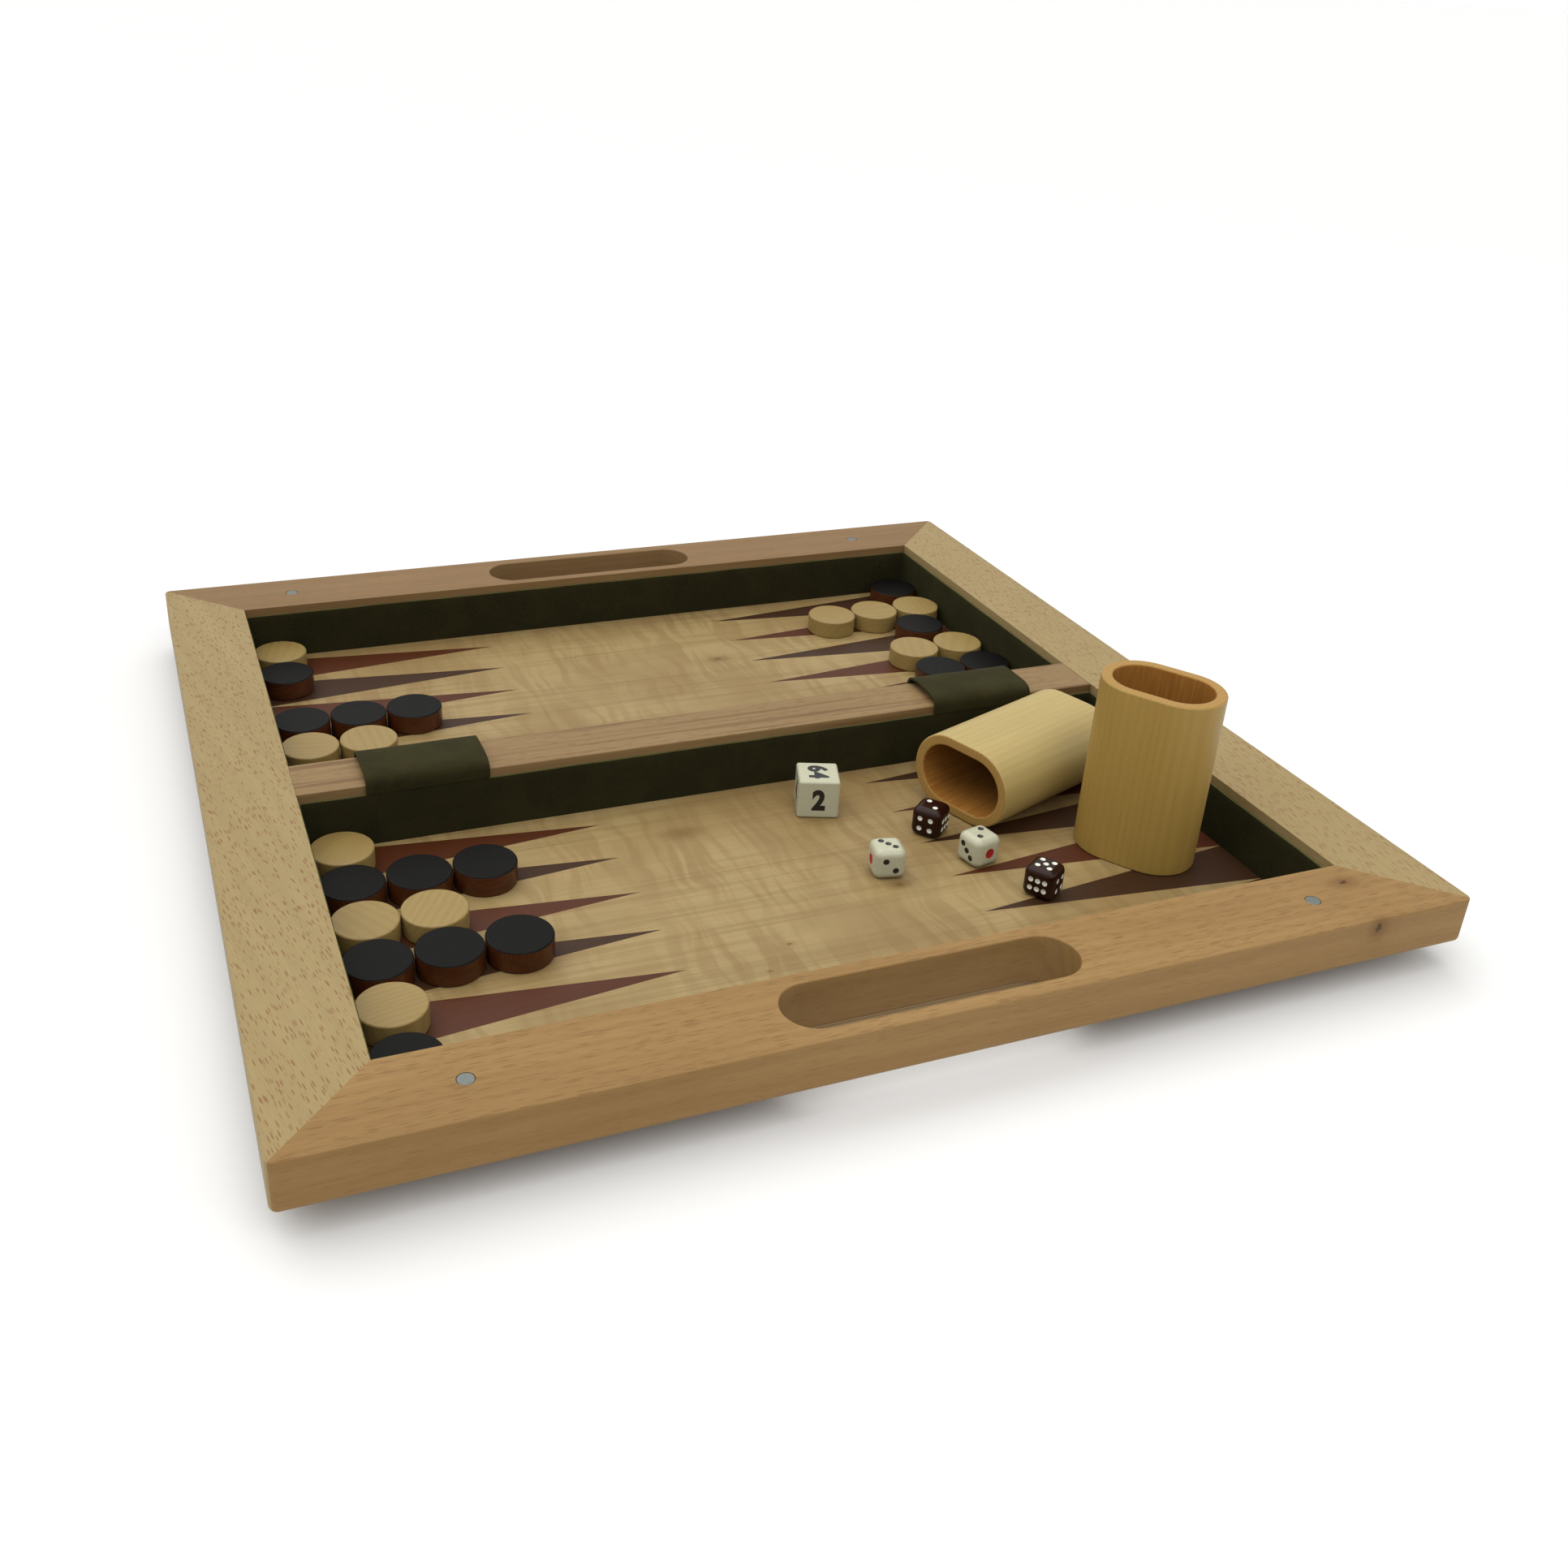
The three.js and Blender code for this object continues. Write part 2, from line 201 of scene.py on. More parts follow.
class BackgammonStageSettings(bpy.types.PropertyGroup):
    """The camera, the lights and the floor."""

    camera_place: FloatVectorProperty(
        name="Camera place", description="Where the camera stands", size=3,
        default=(-0.24699, -0.59312, 0.36024), subtype="TRANSLATION", unit="LENGTH")
    camera_turn: FloatVectorProperty(
        name="Camera turn", description="How the camera is turned", size=3,
        default=[math.radians(a) for a in (63.424, -2.688, -21.467)], subtype="EULER")
    camera_lens: FloatProperty(name="Lens", description="Focal length in millimetres", default=35.18, min=10)
    shift_x: FloatProperty(name="Shift X", description="Sideways shift of the lens", default=0.0366)
    shift_y: FloatProperty(name="Shift Y", description="Upward shift of the lens", default=-0.0471)
    softbox: FloatProperty(name="Softbox", description="Strength of the broad light overhead", default=1.85, min=0)
    softbox_spread: FloatProperty(
        name="Softbox spread", description="How wide the overhead light looks", default=math.radians(75), subtype="ANGLE")
    fill: FloatProperty(name="Fill", description="Light from the front in watts", default=3.2, min=0)
    zenith: FloatProperty(name="Zenith", description="Strength of the even light from above", default=1.0, min=0)
    horizon: FloatProperty(name="Horizon", description="Strength of the even light from the sides", default=0.65, min=0)
    floor: colour("Floor", "Pale floor", (0.7, 0.7, 0.7))


# Materials

class Look:
    """A material while its nodes are being added."""

    def __init__(self, name):
        self.material = bpy.data.materials.new(f"{name}_finish")
        self.material.use_nodes = True
        self.tree = self.material.node_tree
        self.shader = self.tree.nodes["Principled BSDF"]

    def feed(self, socket, value):
        if isinstance(value, bpy.types.NodeSocket):
            self.tree.links.new(value, socket)
        elif isinstance(value, (tuple, list)) and len(value) == 3 and socket.type == "RGBA":
            socket.default_value = (*value, 1)
        else:
            socket.default_value = value

    def add(self, kind, inputs=None, **settings):
        node = self.tree.nodes.new(kind)
        for name, value in settings.items():
            setattr(node, name, value)
        for name, value in (inputs or {}).items():
            self.feed(node.inputs[name], value)
        return node

    def math(self, operation, a, b=0.0, clamp=False):
        node = self.add("ShaderNodeMath", {0: a, 1: b}, operation=operation, use_clamp=clamp)
        return node.outputs[0]

    def between(self, value, low, high, to_low=0.0, to_high=1.0, smooth=False):
        """The value's place between low and high, spread from to_low to to_high."""
        node = self.add(
            "ShaderNodeMapRange",
            {"Value": value, "From Min": low, "From Max": high, "To Min": to_low, "To Max": to_high},
            interpolation_type="SMOOTHSTEP" if smooth else "LINEAR")
        return node.outputs[0]

    def mix(self, amount, a, b, blend="MIX"):
        node = self.add("ShaderNodeMix", {0: amount, 6: a, 7: b}, data_type="RGBA", blend_type=blend)
        return node.outputs[2]

    def stretch(self, vector, scale, location=(0, 0, 0)):
        node = self.add("ShaderNodeMapping", {"Vector": vector, "Scale": scale, "Location": location})
        return node.outputs[0]

    def cloud(self, vector, scale=1.0, detail=2.0, roughness=0.5, distortion=0.0):
        node = self.add("ShaderNodeTexNoise", {
            "Vector": vector, "Scale": scale, "Detail": detail,
            "Roughness": roughness, "Distortion": distortion})
        return node.outputs["Fac"]

    def cells(self, vector, scale=1.0):
        """Distance to the nearest cell point, and a random number for the cell."""
        node = self.add("ShaderNodeTexVoronoi", {"Vector": vector, "Scale": scale})
        return node.outputs["Distance"], self.add(
            "ShaderNodeSeparateColor", {"Color": node.outputs["Color"]}).outputs[0]

    def wave(self, vector, scale, kind, distortion, detail_scale=1.0, detail=2.0):
        node = self.add(
            "ShaderNodeTexWave",
            {"Vector": vector, "Scale": scale, "Distortion": distortion,
             "Detail": detail, "Detail Scale": detail_scale},
            wave_type=kind)
        return node.outputs["Fac"]

    def grain_space(self):
        """The piece's own wood space, its X along the grain."""
        return self.add("ShaderNodeAttribute", attribute_name="grain").outputs["Vector"]

    def object_space(self):
        return self.add("ShaderNodeTexCoord").outputs["Object"]

    def bump(self, height, strength, depth):
        node = self.add("ShaderNodeBump", {"Height": height, "Strength": strength, "Distance": depth})
        self.feed(self.shader.inputs["Normal"], node.outputs[0])

    def set(self, **values):
        for name, value in values.items():
            self.feed(self.shader.inputs[name.replace("_", " ").title().replace("Ior", "IOR")], value)


WAVE_TURN = 0.31416  # a wave texture of scale 1 repeats after this length


def shade(tone, amount):
    return tuple(min(1.0, c * amount) for c in tone)


def warm(tone, amount):
    """The tone, darker and redder."""
    red, green, blue = tone
    return (red * amount, green * amount ** 1.35, blue * amount ** 1.75)


def wood(name, tone, rings=4.0, ring_depth=0.25, fibre_depth=0.3, flecks=0.0, fleck_size=(5.5, 1.9),
         fleck_tone=None, patches=0.2, gloss=0.5, streaks=0.0, streak_width=4.8, spots=(),
         shine=0.2):
    """Sawn wood: growth rings about a far pith, fine fibres, short flecks and slow changes of tone."""
    look = Look(name)
    place = look.grain_space()
    slow = look.cloud(look.stretch(place, (9, 38, 38)), detail=3, roughness=0.55)
    bent = look.stretch(place, (0.055, 1, 1), (0, 0.031, 0.058))
    ring = look.wave(bent, WAVE_TURN / (rings * MM), "RINGS", 5.0, 0.8, 3)
    fibre = look.cloud(look.stretch(place, (38, 1500, 1500)), detail=4, roughness=0.65)
    pores = look.cloud(look.stretch(place, (260, 3000, 3000)), detail=2, roughness=0.6)
    base = look.mix(look.between(slow, 0.3, 0.7, 0, patches), tone, warm(tone, 0.72))
    base = look.mix(look.between(ring, 0.25, 0.95, 0, ring_depth), base, warm(tone, 0.62))
    base = look.mix(look.between(fibre, 0.35, 0.72, 0, fibre_depth), base, warm(tone, 0.6))
    base = look.mix(look.between(pores, 0.62, 0.74, 0, fibre_depth), base, warm(tone, 0.45))
    if streaks:
        band = look.cloud(look.stretch(place, (6, 1000 / streak_width, 1000 / streak_width)), detail=3, roughness=0.6)
        base = look.mix(look.between(band, 0.5, 0.66, 0, streaks, smooth=True), base, warm(tone, 0.42))
    rough = look.between(fibre, 0.2, 0.8, gloss - 0.06, gloss + 0.1)
    height = fibre
    if flecks:
        along, across = fleck_size
        wavy = look.cloud(look.stretch(place, (90, 400, 400)), detail=1)
        tilted = look.add("ShaderNodeVectorMath", {0: place, 1: look.add(
            "ShaderNodeVectorMath", {0: wavy, 1: (0, 0.0009, 0.0009)}, operation="MULTIPLY").outputs[0]})
        cell = (1 / (along * MM), 1 / (across * MM), 1 / (1.6 * across * MM))
        near, lot = look.cells(look.stretch(tilted.outputs[0], cell))
        dash = look.between(near, 0.24, 0.4, 1, 0, smooth=True)
        dash = look.math("MULTIPLY", dash, look.between(lot, 0.1, 0.65, 0.15, flecks))
        upright = look.add("ShaderNodeSeparateXYZ", {0: look.add("ShaderNodeTexCoord").outputs["Normal"]}).outputs[2]
        dash = look.math("MULTIPLY", dash, look.between(look.math("ABSOLUTE", upright), 0.3, 0.8, 0.3, 1))
        base = look.mix(dash, base, fleck_tone or warm(tone, 0.5))
        height = look.math("SUBTRACT", fibre, look.math("MULTIPLY", dash, 0.5))
    for spot in spots:
        base = knot(look, place, base, tone, *spot)
    look.feed(look.shader.inputs["Base Color"], base)
    look.feed(look.shader.inputs["Roughness"], rough)
    look.set(specular_ior_level=shine)
    look.bump(height, 0.25, 0.12 * MM)
    return look.material


def knot(look, place, base, tone, centre, size, eye):
    """A small knot: an eye with a warm ring about it, drawn out along the grain."""
    away = look.add("ShaderNodeVectorMath", {0: place, 1: centre}, operation="SUBTRACT").outputs[0]
    away = look.stretch(away, (0.55 / size, 1 / size, 0.45 / size))
    far = look.add("ShaderNodeVectorMath", {0: away}, operation="LENGTH").outputs["Value"]
    ragged = look.math("ADD", far, look.math(
        "MULTIPLY", look.math("SUBTRACT", look.cloud(look.stretch(place, (500, 900, 900)), detail=3), 0.5), 1.3))
    base = look.mix(look.between(ragged, 1.5, 6, 0.5, 0, smooth=True), base, warm(tone, 0.78))
    base = look.mix(look.between(ragged, 0.5, 2.6, 0.75, 0, smooth=True), base, warm(tone, 0.55))
    return look.mix(look.between(ragged, 0.1, 0.75, eye, 0, smooth=True), base, warm(tone, 0.16))


def curly_maple(name, tone, spots):
    """Maple veneer with its ripples across the grain and a few small knots."""
    look = Look(name)
    place = look.grain_space()
    slow = look.cloud(look.stretch(place, (10, 14, 14)), detail=3, roughness=0.55)
    bend = look.cloud(look.stretch(place, (26, 20, 20)), detail=2)
    shifted = look.add("ShaderNodeVectorMath", {0: place, 1: look.add(
        "ShaderNodeVectorMath", {0: bend, 1: (0.024, 0, 0)}, operation="MULTIPLY").outputs[0]}).outputs[0]
    ripple = look.cloud(look.stretch(shifted, (170, 17, 17)), detail=2, roughness=0.5)
    where = look.cloud(look.stretch(place, (13, 17, 17), (0.7, 0.4, 0)), detail=2)
    figure = look.math("MULTIPLY", look.between(ripple, 0.42, 0.6, smooth=True), look.between(where, 0.36, 0.58, 0.25, 1))
    fibre = look.cloud(look.stretch(place, (28, 900, 900)), detail=4, roughness=0.65)
    line = look.cloud(look.stretch(place, (8, 320, 320)), detail=3, roughness=0.6)
    base = look.mix(look.between(slow, 0.4, 0.62, 0, 0.75, smooth=True), tone, warm(tone, 0.74))
    base = look.mix(look.math("MULTIPLY", figure, 0.62), base, warm(tone, 0.68))
    base = look.mix(look.between(fibre, 0.4, 0.75, 0, 0.28), base, warm(tone, 0.66))
    base = look.mix(look.between(line, 0.48, 0.66, 0, 0.4), base, warm(tone, 0.6))
    height = fibre
    for spot in spots:
        base = knot(look, place, base, tone, *spot)
    look.feed(look.shader.inputs["Base Color"], base)
    look.feed(look.shader.inputs["Roughness"], look.between(figure, 0, 1, 0.42, 0.5))
    look.set(specular_ior_level=0.22)
    look.bump(height, 0.12, 0.08 * MM)
    return look.material


def end_grain(name, tone):
    """Wood cut across the grain: fine dots and faint arcs."""
    look = Look(name)
    place = look.grain_space()
    ring = look.wave(look.stretch(place, (0.1, 1, 1), (0, 0.02, 0.03)), WAVE_TURN / (2.2 * MM), "RINGS", 1.5)
    dots = look.cloud(look.stretch(place, (600, 2600, 2600)), detail=3, roughness=0.7)
    base = look.mix(look.between(ring, 0.2, 1, 0, 0.25), tone, warm(tone, 0.7))
    base = look.mix(look.between(dots, 0.45, 0.75, 0, 0.4), base, warm(tone, 0.55))
    look.feed(look.shader.inputs["Base Color"], base)
    look.feed(look.shader.inputs["Roughness"], look.between(dots, 0.3, 0.7, 0.5, 0.65))
    look.set(specular_ior_level=0.2)
    look.bump(dots, 0.3, 0.15 * MM)
    return look.material


def bored_wood(name, tone):
    """The inside of a cup, left rough by the cutter, with streaks along the cup."""
    look = Look(name)
    place = look.grain_space()
    streak = look.cloud(look.stretch(place, (45, 1000, 1000)), detail=4, roughness=0.65)
    blotch = look.cloud(look.stretch(place, (60, 90, 90)), detail=3)
    base = look.mix(look.between(streak, 0.35, 0.7, 0, 0.6), tone, warm(tone, 0.5))
    base = look.mix(look.between(blotch, 0.4, 0.7, 0, 0.4), base, warm(tone, 0.65))
    look.feed(look.shader.inputs["Base Color"], base)
    look.feed(look.shader.inputs["Roughness"], look.between(streak, 0.3, 0.7, 0.6, 0.75))
    look.set(specular_ior_level=0.15)
    look.bump(streak, 0.5, 0.25 * MM)
    return look.material


def napped(name, tone, sheen_tone, fuzz, nap, sheen, edge=0.0):
    """Felt or suede: short fibres, a soft sheen and slow changes where the nap lies over, and, by edge, a painted
    highlight of pale green on upward faces.
    """
    look = Look(name)
    place = look.object_space()
    fine = look.cloud(place, 1 / (fuzz * MM), detail=5, roughness=0.75)
    lying = look.cloud(place, 1 / (nap * MM), detail=3, roughness=0.6, distortion=0.6)
    base = look.mix(look.between(fine, 0.35, 0.7), shade(tone, 0.6), shade(tone, 1.5))
    base = look.mix(look.between(lying, 0.4, 0.65, 0, 0.5), base, shade(tone, 1.7))
    # Painted highlight: faces that look upwards, such as the felt's cut top edge, are mixed by edge towards a pale
    # green, the light falling on them
    upright = look.add("ShaderNodeSeparateXYZ", {0: look.add("ShaderNodeTexCoord").outputs["Normal"]}).outputs[2]
    base = look.mix(look.between(upright, 0.4, 0.9, 0, edge), base, shade((0.35, 0.38, 0.12), 0.5))
    look.feed(look.shader.inputs["Base Color"], base)
    look.feed(look.shader.inputs["Roughness"], look.between(lying, 0.3, 0.7, 0.85, 0.98))
    look.set(sheen_weight=sheen, sheen_roughness=0.55, specular_ior_level=0.08)
    look.feed(look.shader.inputs["Sheen Tint"], sheen_tone)
    look.bump(fine, 0.55, 0.3 * MM)
    return look.material


def plastic(name, tone, rough=0.22, milky=0.0, shine=0.4):
    """Moulded and tumbled plastic with faint waves and tiny scuffs."""
    look = Look(name)
    place = look.object_space()
    cloudy = look.cloud(place, 160, detail=3)
    scuff = look.cloud(place, 900, detail=2)
    look.feed(look.shader.inputs["Base Color"], look.mix(cloudy, shade(tone, 0.94), shade(tone, 1.05)))
    look.feed(look.shader.inputs["Roughness"], look.between(scuff, 0.45, 0.75, rough, rough + 0.15))
    look.set(subsurface_weight=milky, subsurface_scale=1.2 * MM, specular_ior_level=shine)
    look.feed(look.shader.inputs["Subsurface Radius"], (1.0, 0.8, 0.5))
    look.bump(cloudy, 0.06, 0.1 * MM)
    return look.material


def paint(name, tone):
    """Thick paint in a drilled or engraved hollow."""
    look = Look(name)
    lumps = look.cloud(look.object_space(), 1500, detail=2)
    look.feed(look.shader.inputs["Base Color"], look.mix(lumps, shade(tone, 0.8), tone))
    look.feed(look.shader.inputs["Roughness"], look.between(lumps, 0.3, 0.7, 0.25, 0.45))
    look.bump(lumps, 0.2, 0.05 * MM)
    return look.material


def metal(name, tone):
    """Dull nickel plate with fine scratches."""
    look = Look(name)
    place = look.object_space()
    scratch = look.cloud(look.stretch(place, (300, 5000, 300)), detail=4, roughness=0.7)
    dull = look.cloud(place, 700, detail=3)
    look.feed(look.shader.inputs["Base Color"], look.mix(dull, shade(tone, 0.75), shade(tone, 1.25)))
    look.feed(look.shader.inputs["Roughness"], look.between(scratch, 0.3, 0.7, 0.38, 0.6))
    look.set(metallic=0.7)
    look.bump(scratch, 0.15, 0.03 * MM)
    return look.material


def plywood(name, tone):
    """Plywood: plain faces, and thin darker layers where its edge shows."""
    look = Look(name)
    place = look.object_space()
    layer = look.wave(place, WAVE_TURN / (1.2 * MM), "BANDS", 0.3)
    layer_node = layer.node
    layer_node.bands_direction = "Z"
    fibre = look.cloud(look.stretch(place, (40, 900, 900)), detail=4, roughness=0.65)
    upright = look.add("ShaderNodeSeparateXYZ", {0: look.add("ShaderNodeTexCoord").outputs["Normal"]}).outputs[2]
    side = look.between(look.math("ABSOLUTE", upright), 0.3, 0.7, 1, 0)
    base = look.mix(look.between(fibre, 0.35, 0.7, 0, 0.5), tone, warm(tone, 0.65))
    base = look.mix(look.math("MULTIPLY", side, look.between(layer, 0.3, 0.7, 0, 0.7)), base, warm(tone, 0.45))
    look.feed(look.shader.inputs["Base Color"], base)
    look.feed(look.shader.inputs["Roughness"], look.between(fibre, 0.3, 0.7, 0.6, 0.75))
    look.bump(fibre, 0.3, 0.15 * MM)
    return look.material


def make_finish(name):
    """Makes one of the set's finishes from the colours in the panel."""
    tones = bpy.context.scene.backgammon_colours
    if name == "orange_beech":
        return wood(name, tuple(tones.orange_beech), rings=5, ring_depth=0.2, fibre_depth=0.3, flecks=0.6,
                    fleck_size=(9, 0.75), patches=0.55, gloss=0.5,
                    spots=RAIL_KNOTS)
    if name == "back_beech":
        return wood(name, tuple(tones.back_beech), rings=4, ring_depth=0.16, fibre_depth=0.25, flecks=0.3,
                    fleck_size=(9, 0.75), patches=0.4, gloss=0.5)
    if name == "pale_beech":
        return wood(name, tuple(tones.pale_beech), rings=7, ring_depth=0.12, fibre_depth=0.2, flecks=0.9,
                    fleck_size=(6, 0.85), fleck_tone=(0.19, 0.09, 0.03), patches=0.25, gloss=0.52)
    if name == "bar_beech":
        return wood(name, tuple(tones.bar_beech), rings=4, ring_depth=0.25, fibre_depth=0.3, flecks=0.35,
                    fleck_size=(8, 1.8), patches=0.3, streaks=0.6, streak_width=3.2, gloss=0.5)
    if name == "curly_maple":
        return curly_maple(name, tuple(tones.maple), FIELD_KNOTS)
    if name == "red_veneer":
        return wood(name, tuple(tones.red_veneer), rings=3, ring_depth=0.35, fibre_depth=0.4, patches=0.3,
                    streaks=0.85, streak_width=2.4, gloss=0.45)
    if name == "brown_veneer":
        return wood(name, tuple(tones.brown_veneer), rings=3, ring_depth=0.4, fibre_depth=0.5, patches=0.3,
                    streaks=0.75, streak_width=2.4, gloss=0.45)
    if name == "light_wood":
        return wood(name, tuple(tones.light_wood), rings=2.6, ring_depth=0.2, fibre_depth=0.2, patches=0.2,
                    gloss=0.38, shine=0.3)
    if name == "dark_stain":
        return wood(name, tuple(tones.dark_stain), rings=2.4, ring_depth=0.15, fibre_depth=0.3, patches=0.1,
                    gloss=0.42, shine=0.08)
    if name == "dark_side":
        return wood(name, tuple(tones.dark_side), rings=2.0, ring_depth=0.4, fibre_depth=0.5, patches=0.3,
                    streaks=0.5, gloss=0.34, shine=0.35)
    # The lying cup's finish is the cup wood made paler, as painted light on its upturned side
    if name in ("cup_wood", "pale_cup_wood"):
        return wood(name, tuple(getattr(tones, name)), rings=3.4, ring_depth=0.14, fibre_depth=0.2, patches=0.2,
                    gloss=0.46, shine=0.45)
    if name == "cup_rim":
        return end_grain(name, tuple(tones.cup_rim))
    if name == "cup_inside":
        return bored_wood(name, tuple(tones.cup_inside))
    if name == "green_felt":
        # edge=0.35 paints a pale green highlight on the felt's upward faces, its lit top edge
        return napped(name, tuple(tones.felt), (0.42, 0.5, 0.2), fuzz=0.8, nap=22, sheen=0.06, edge=0.35)
    if name == "olive_suede":
        return napped(name, tuple(tones.suede), (0.5, 0.5, 0.25), fuzz=0.35, nap=12, sheen=0.08)
    if name == "ivory_plastic":
        return plastic(name, tuple(tones.ivory), 0.2)
    if name == "brown_plastic":
        return plastic(name, tuple(tones.brown_plastic), 0.16, shine=0.18)
    if name == "black_paint":
        return paint(name, (0.006, 0.006, 0.008))
    if name == "red_paint":
        return paint(name, (0.35, 0.006, 0.008))
    if name == "white_paint":
        return paint(name, (0.66, 0.68, 0.6))
    if name == "nickel":
        return metal(name, tuple(tones.nickel))
    if name == "plywood":
        return plywood(name, (0.36, 0.25, 0.12))
    raise ValueError(f"there is no finish called {name}")


def finish(name):
    return bpy.data.materials.get(f"{name}_finish") or make_finish(name)


# Knots: where each is, its size and how dark its eye is
RAIL_KNOTS = (
    ((0.191, -0.2035, RAIL_TOP), 2.4 * MM, 0.95),
    ((0.187, -HALF_DEPTH, RAIL_TOP - 0.004), 1.6 * MM, 0.9),
)
FIELD_KNOTS = (
    ((-0.035, -0.045, FIELD_TOP), 3.2 * MM, 0.12),
    ((0.0403, -0.1122, FIELD_TOP), 1.8 * MM, 0.5),
    ((0.048, 0.1243, FIELD_TOP), 2.1 * MM, 0.6),
    ((-0.0228, -0.1376, FIELD_TOP), 0.55 * MM, 1.0),
    ((-0.0373, -0.152, FIELD_TOP), 0.5 * MM, 0.8),
)


# Shared mesh steps

def arc(x, y, radius, start, stop, steps):
    """Points in plan along an arc, both ends among them."""
    angles = [start + (stop - start) * step / steps for step in range(steps + 1)]
    return [(x + radius * math.cos(a), y + radius * math.sin(a)) for a in angles]


def plan_face(bm, outline, height):
    return bm.faces.new([bm.verts.new((x, y, height)) for x, y in outline])


def lift(bm, faces, height):
    """Extrudes faces straight up, and gives the new top faces."""
    grown = bmesh.ops.extrude_face_region(bm, geom=faces)["geom"]
    points = [part for part in grown if isinstance(part, bmesh.types.BMVert)]
    bmesh.ops.translate(bm, vec=(0, 0, height), verts=points)
    bm.normal_update()
    return [part for part in grown if isinstance(part, bmesh.types.BMFace)]


def round_edges(bm, edges, radius, segments):
    return bmesh.ops.bevel(
        bm, geom=list(edges), offset=radius, offset_type="OFFSET", segments=segments, profile=0.5,
        affect="EDGES", material=-1, clamp_overlap=False)


def outward(bm):
    bmesh.ops.recalc_face_normals(bm, faces=bm.faces)


def lay_grain(bm, to_wood=Matrix.Identity(4), seed=0):
    """Stores where each point lies in the wood that the piece was cut from, its X along the grain."""
    chance = random.Random(seed)
    offset = Vector([chance.uniform(-1, 1) for _ in range(3)]) if seed else Vector()
    layer = bm.verts.layers.float_vector.new("grain")
    for point in bm.verts:
        point[layer] = to_wood @ point.co + offset


def place(bm, at=(0, 0, 0), turn=0.0):
    bmesh.ops.transform(
        bm, matrix=Matrix.Translation(at) @ Matrix.Rotation(turn, 4, "Z"), verts=bm.verts)


def finished_piece(name, bm, node, slot, *looks, flat_faces=False):
    """Turns the bmesh into a piece that stands for a node and rides with it."""
    mesh = bpy.data.meshes.new(name)
    bm.to_mesh(mesh)
    bm.free()
    return settle(bpy.data.objects.new(name, mesh), node, looks, flat_faces)


def settle(piece, node, looks, flat_faces=False):
    for look in looks:
        piece.data.materials.append(finish(look))
    piece.data.shade_smooth()
    piece.data.set_sharp_from_angle(angle=SHARP_ANGLE)
    bpy.context.scene.collection.objects.link(piece)
    if flat_faces:
        weighted = piece.modifiers.new("Flat faces", "WEIGHTED_NORMAL")
        weighted.keep_sharp = True
    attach(piece, body_of(node))
    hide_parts(node)
    return piece


# Rails

def level_and_upright(edge):
    """True where a level face meets an upright one."""
    if len(edge.link_faces) != 2:
        return False
    tilts = sorted(abs(face.normal.z) for face in edge.link_faces)
    return tilts[0] < 0.1 and tilts[1] > 0.9


def on_mitre(edge, half_length, half_depth):
    return all(
        abs((half_length - abs(point.co.x)) - (half_depth - abs(point.co.y))) < TINY
        for point in edge.verts)


def near_magnet(edge, radius):
    return all(
        math.hypot(abs(point.co.x) - MAGNET_X, point.co.y - MAGNET_Y) < radius * 1.01
        for point in edge.verts)


def rail_strips(sizes, half_length, half_depth, slotted, with_pockets):
    """The rail's plan in one piece, or in two that meet along a slotted rail's middle."""
    corner = sizes.corner_radius
    turn = math.pi / 2
    outer = arc(-half_length + corner, -half_depth + corner, corner, -1.5 * turn, -turn, 6)
    outer += arc(half_length - corner, -half_depth + corner, corner, -turn, -turn / 2, 6)
    inner = [(half_length - RAIL_WIDTH, -half_depth + RAIL_WIDTH), (-half_length + RAIL_WIDTH, -half_depth + RAIL_WIDTH)]
    if not slotted:
        return [outer + inner]
    slot_y = -half_depth + sizes.slot_from_edge
    end = half_length - sizes.slot_from_edge
    radius = sizes.slot_width / 2
    reach = sizes.slot_length / 2 - radius
    pocket = MAGNET_RADIUS + sizes.pocket_gap
    strips = []
    for side in (-1, 1):
        path = arc(-reach, slot_y, radius, math.pi, math.pi - side * turn, 14)
        path += arc(reach, slot_y, radius, side * turn, 0, 14)
        if with_pockets:
            left = arc(-MAGNET_X, MAGNET_Y, pocket, math.pi, math.pi - side * math.pi, 16)
            right = arc(MAGNET_X, MAGNET_Y, pocket, side * math.pi, 0, 16)
            path = left + path + right
        path = [(-end, slot_y), *path, (end, slot_y)]
        strips.append(outer + path[::-1] if side < 0 else path + inner)
    return strips


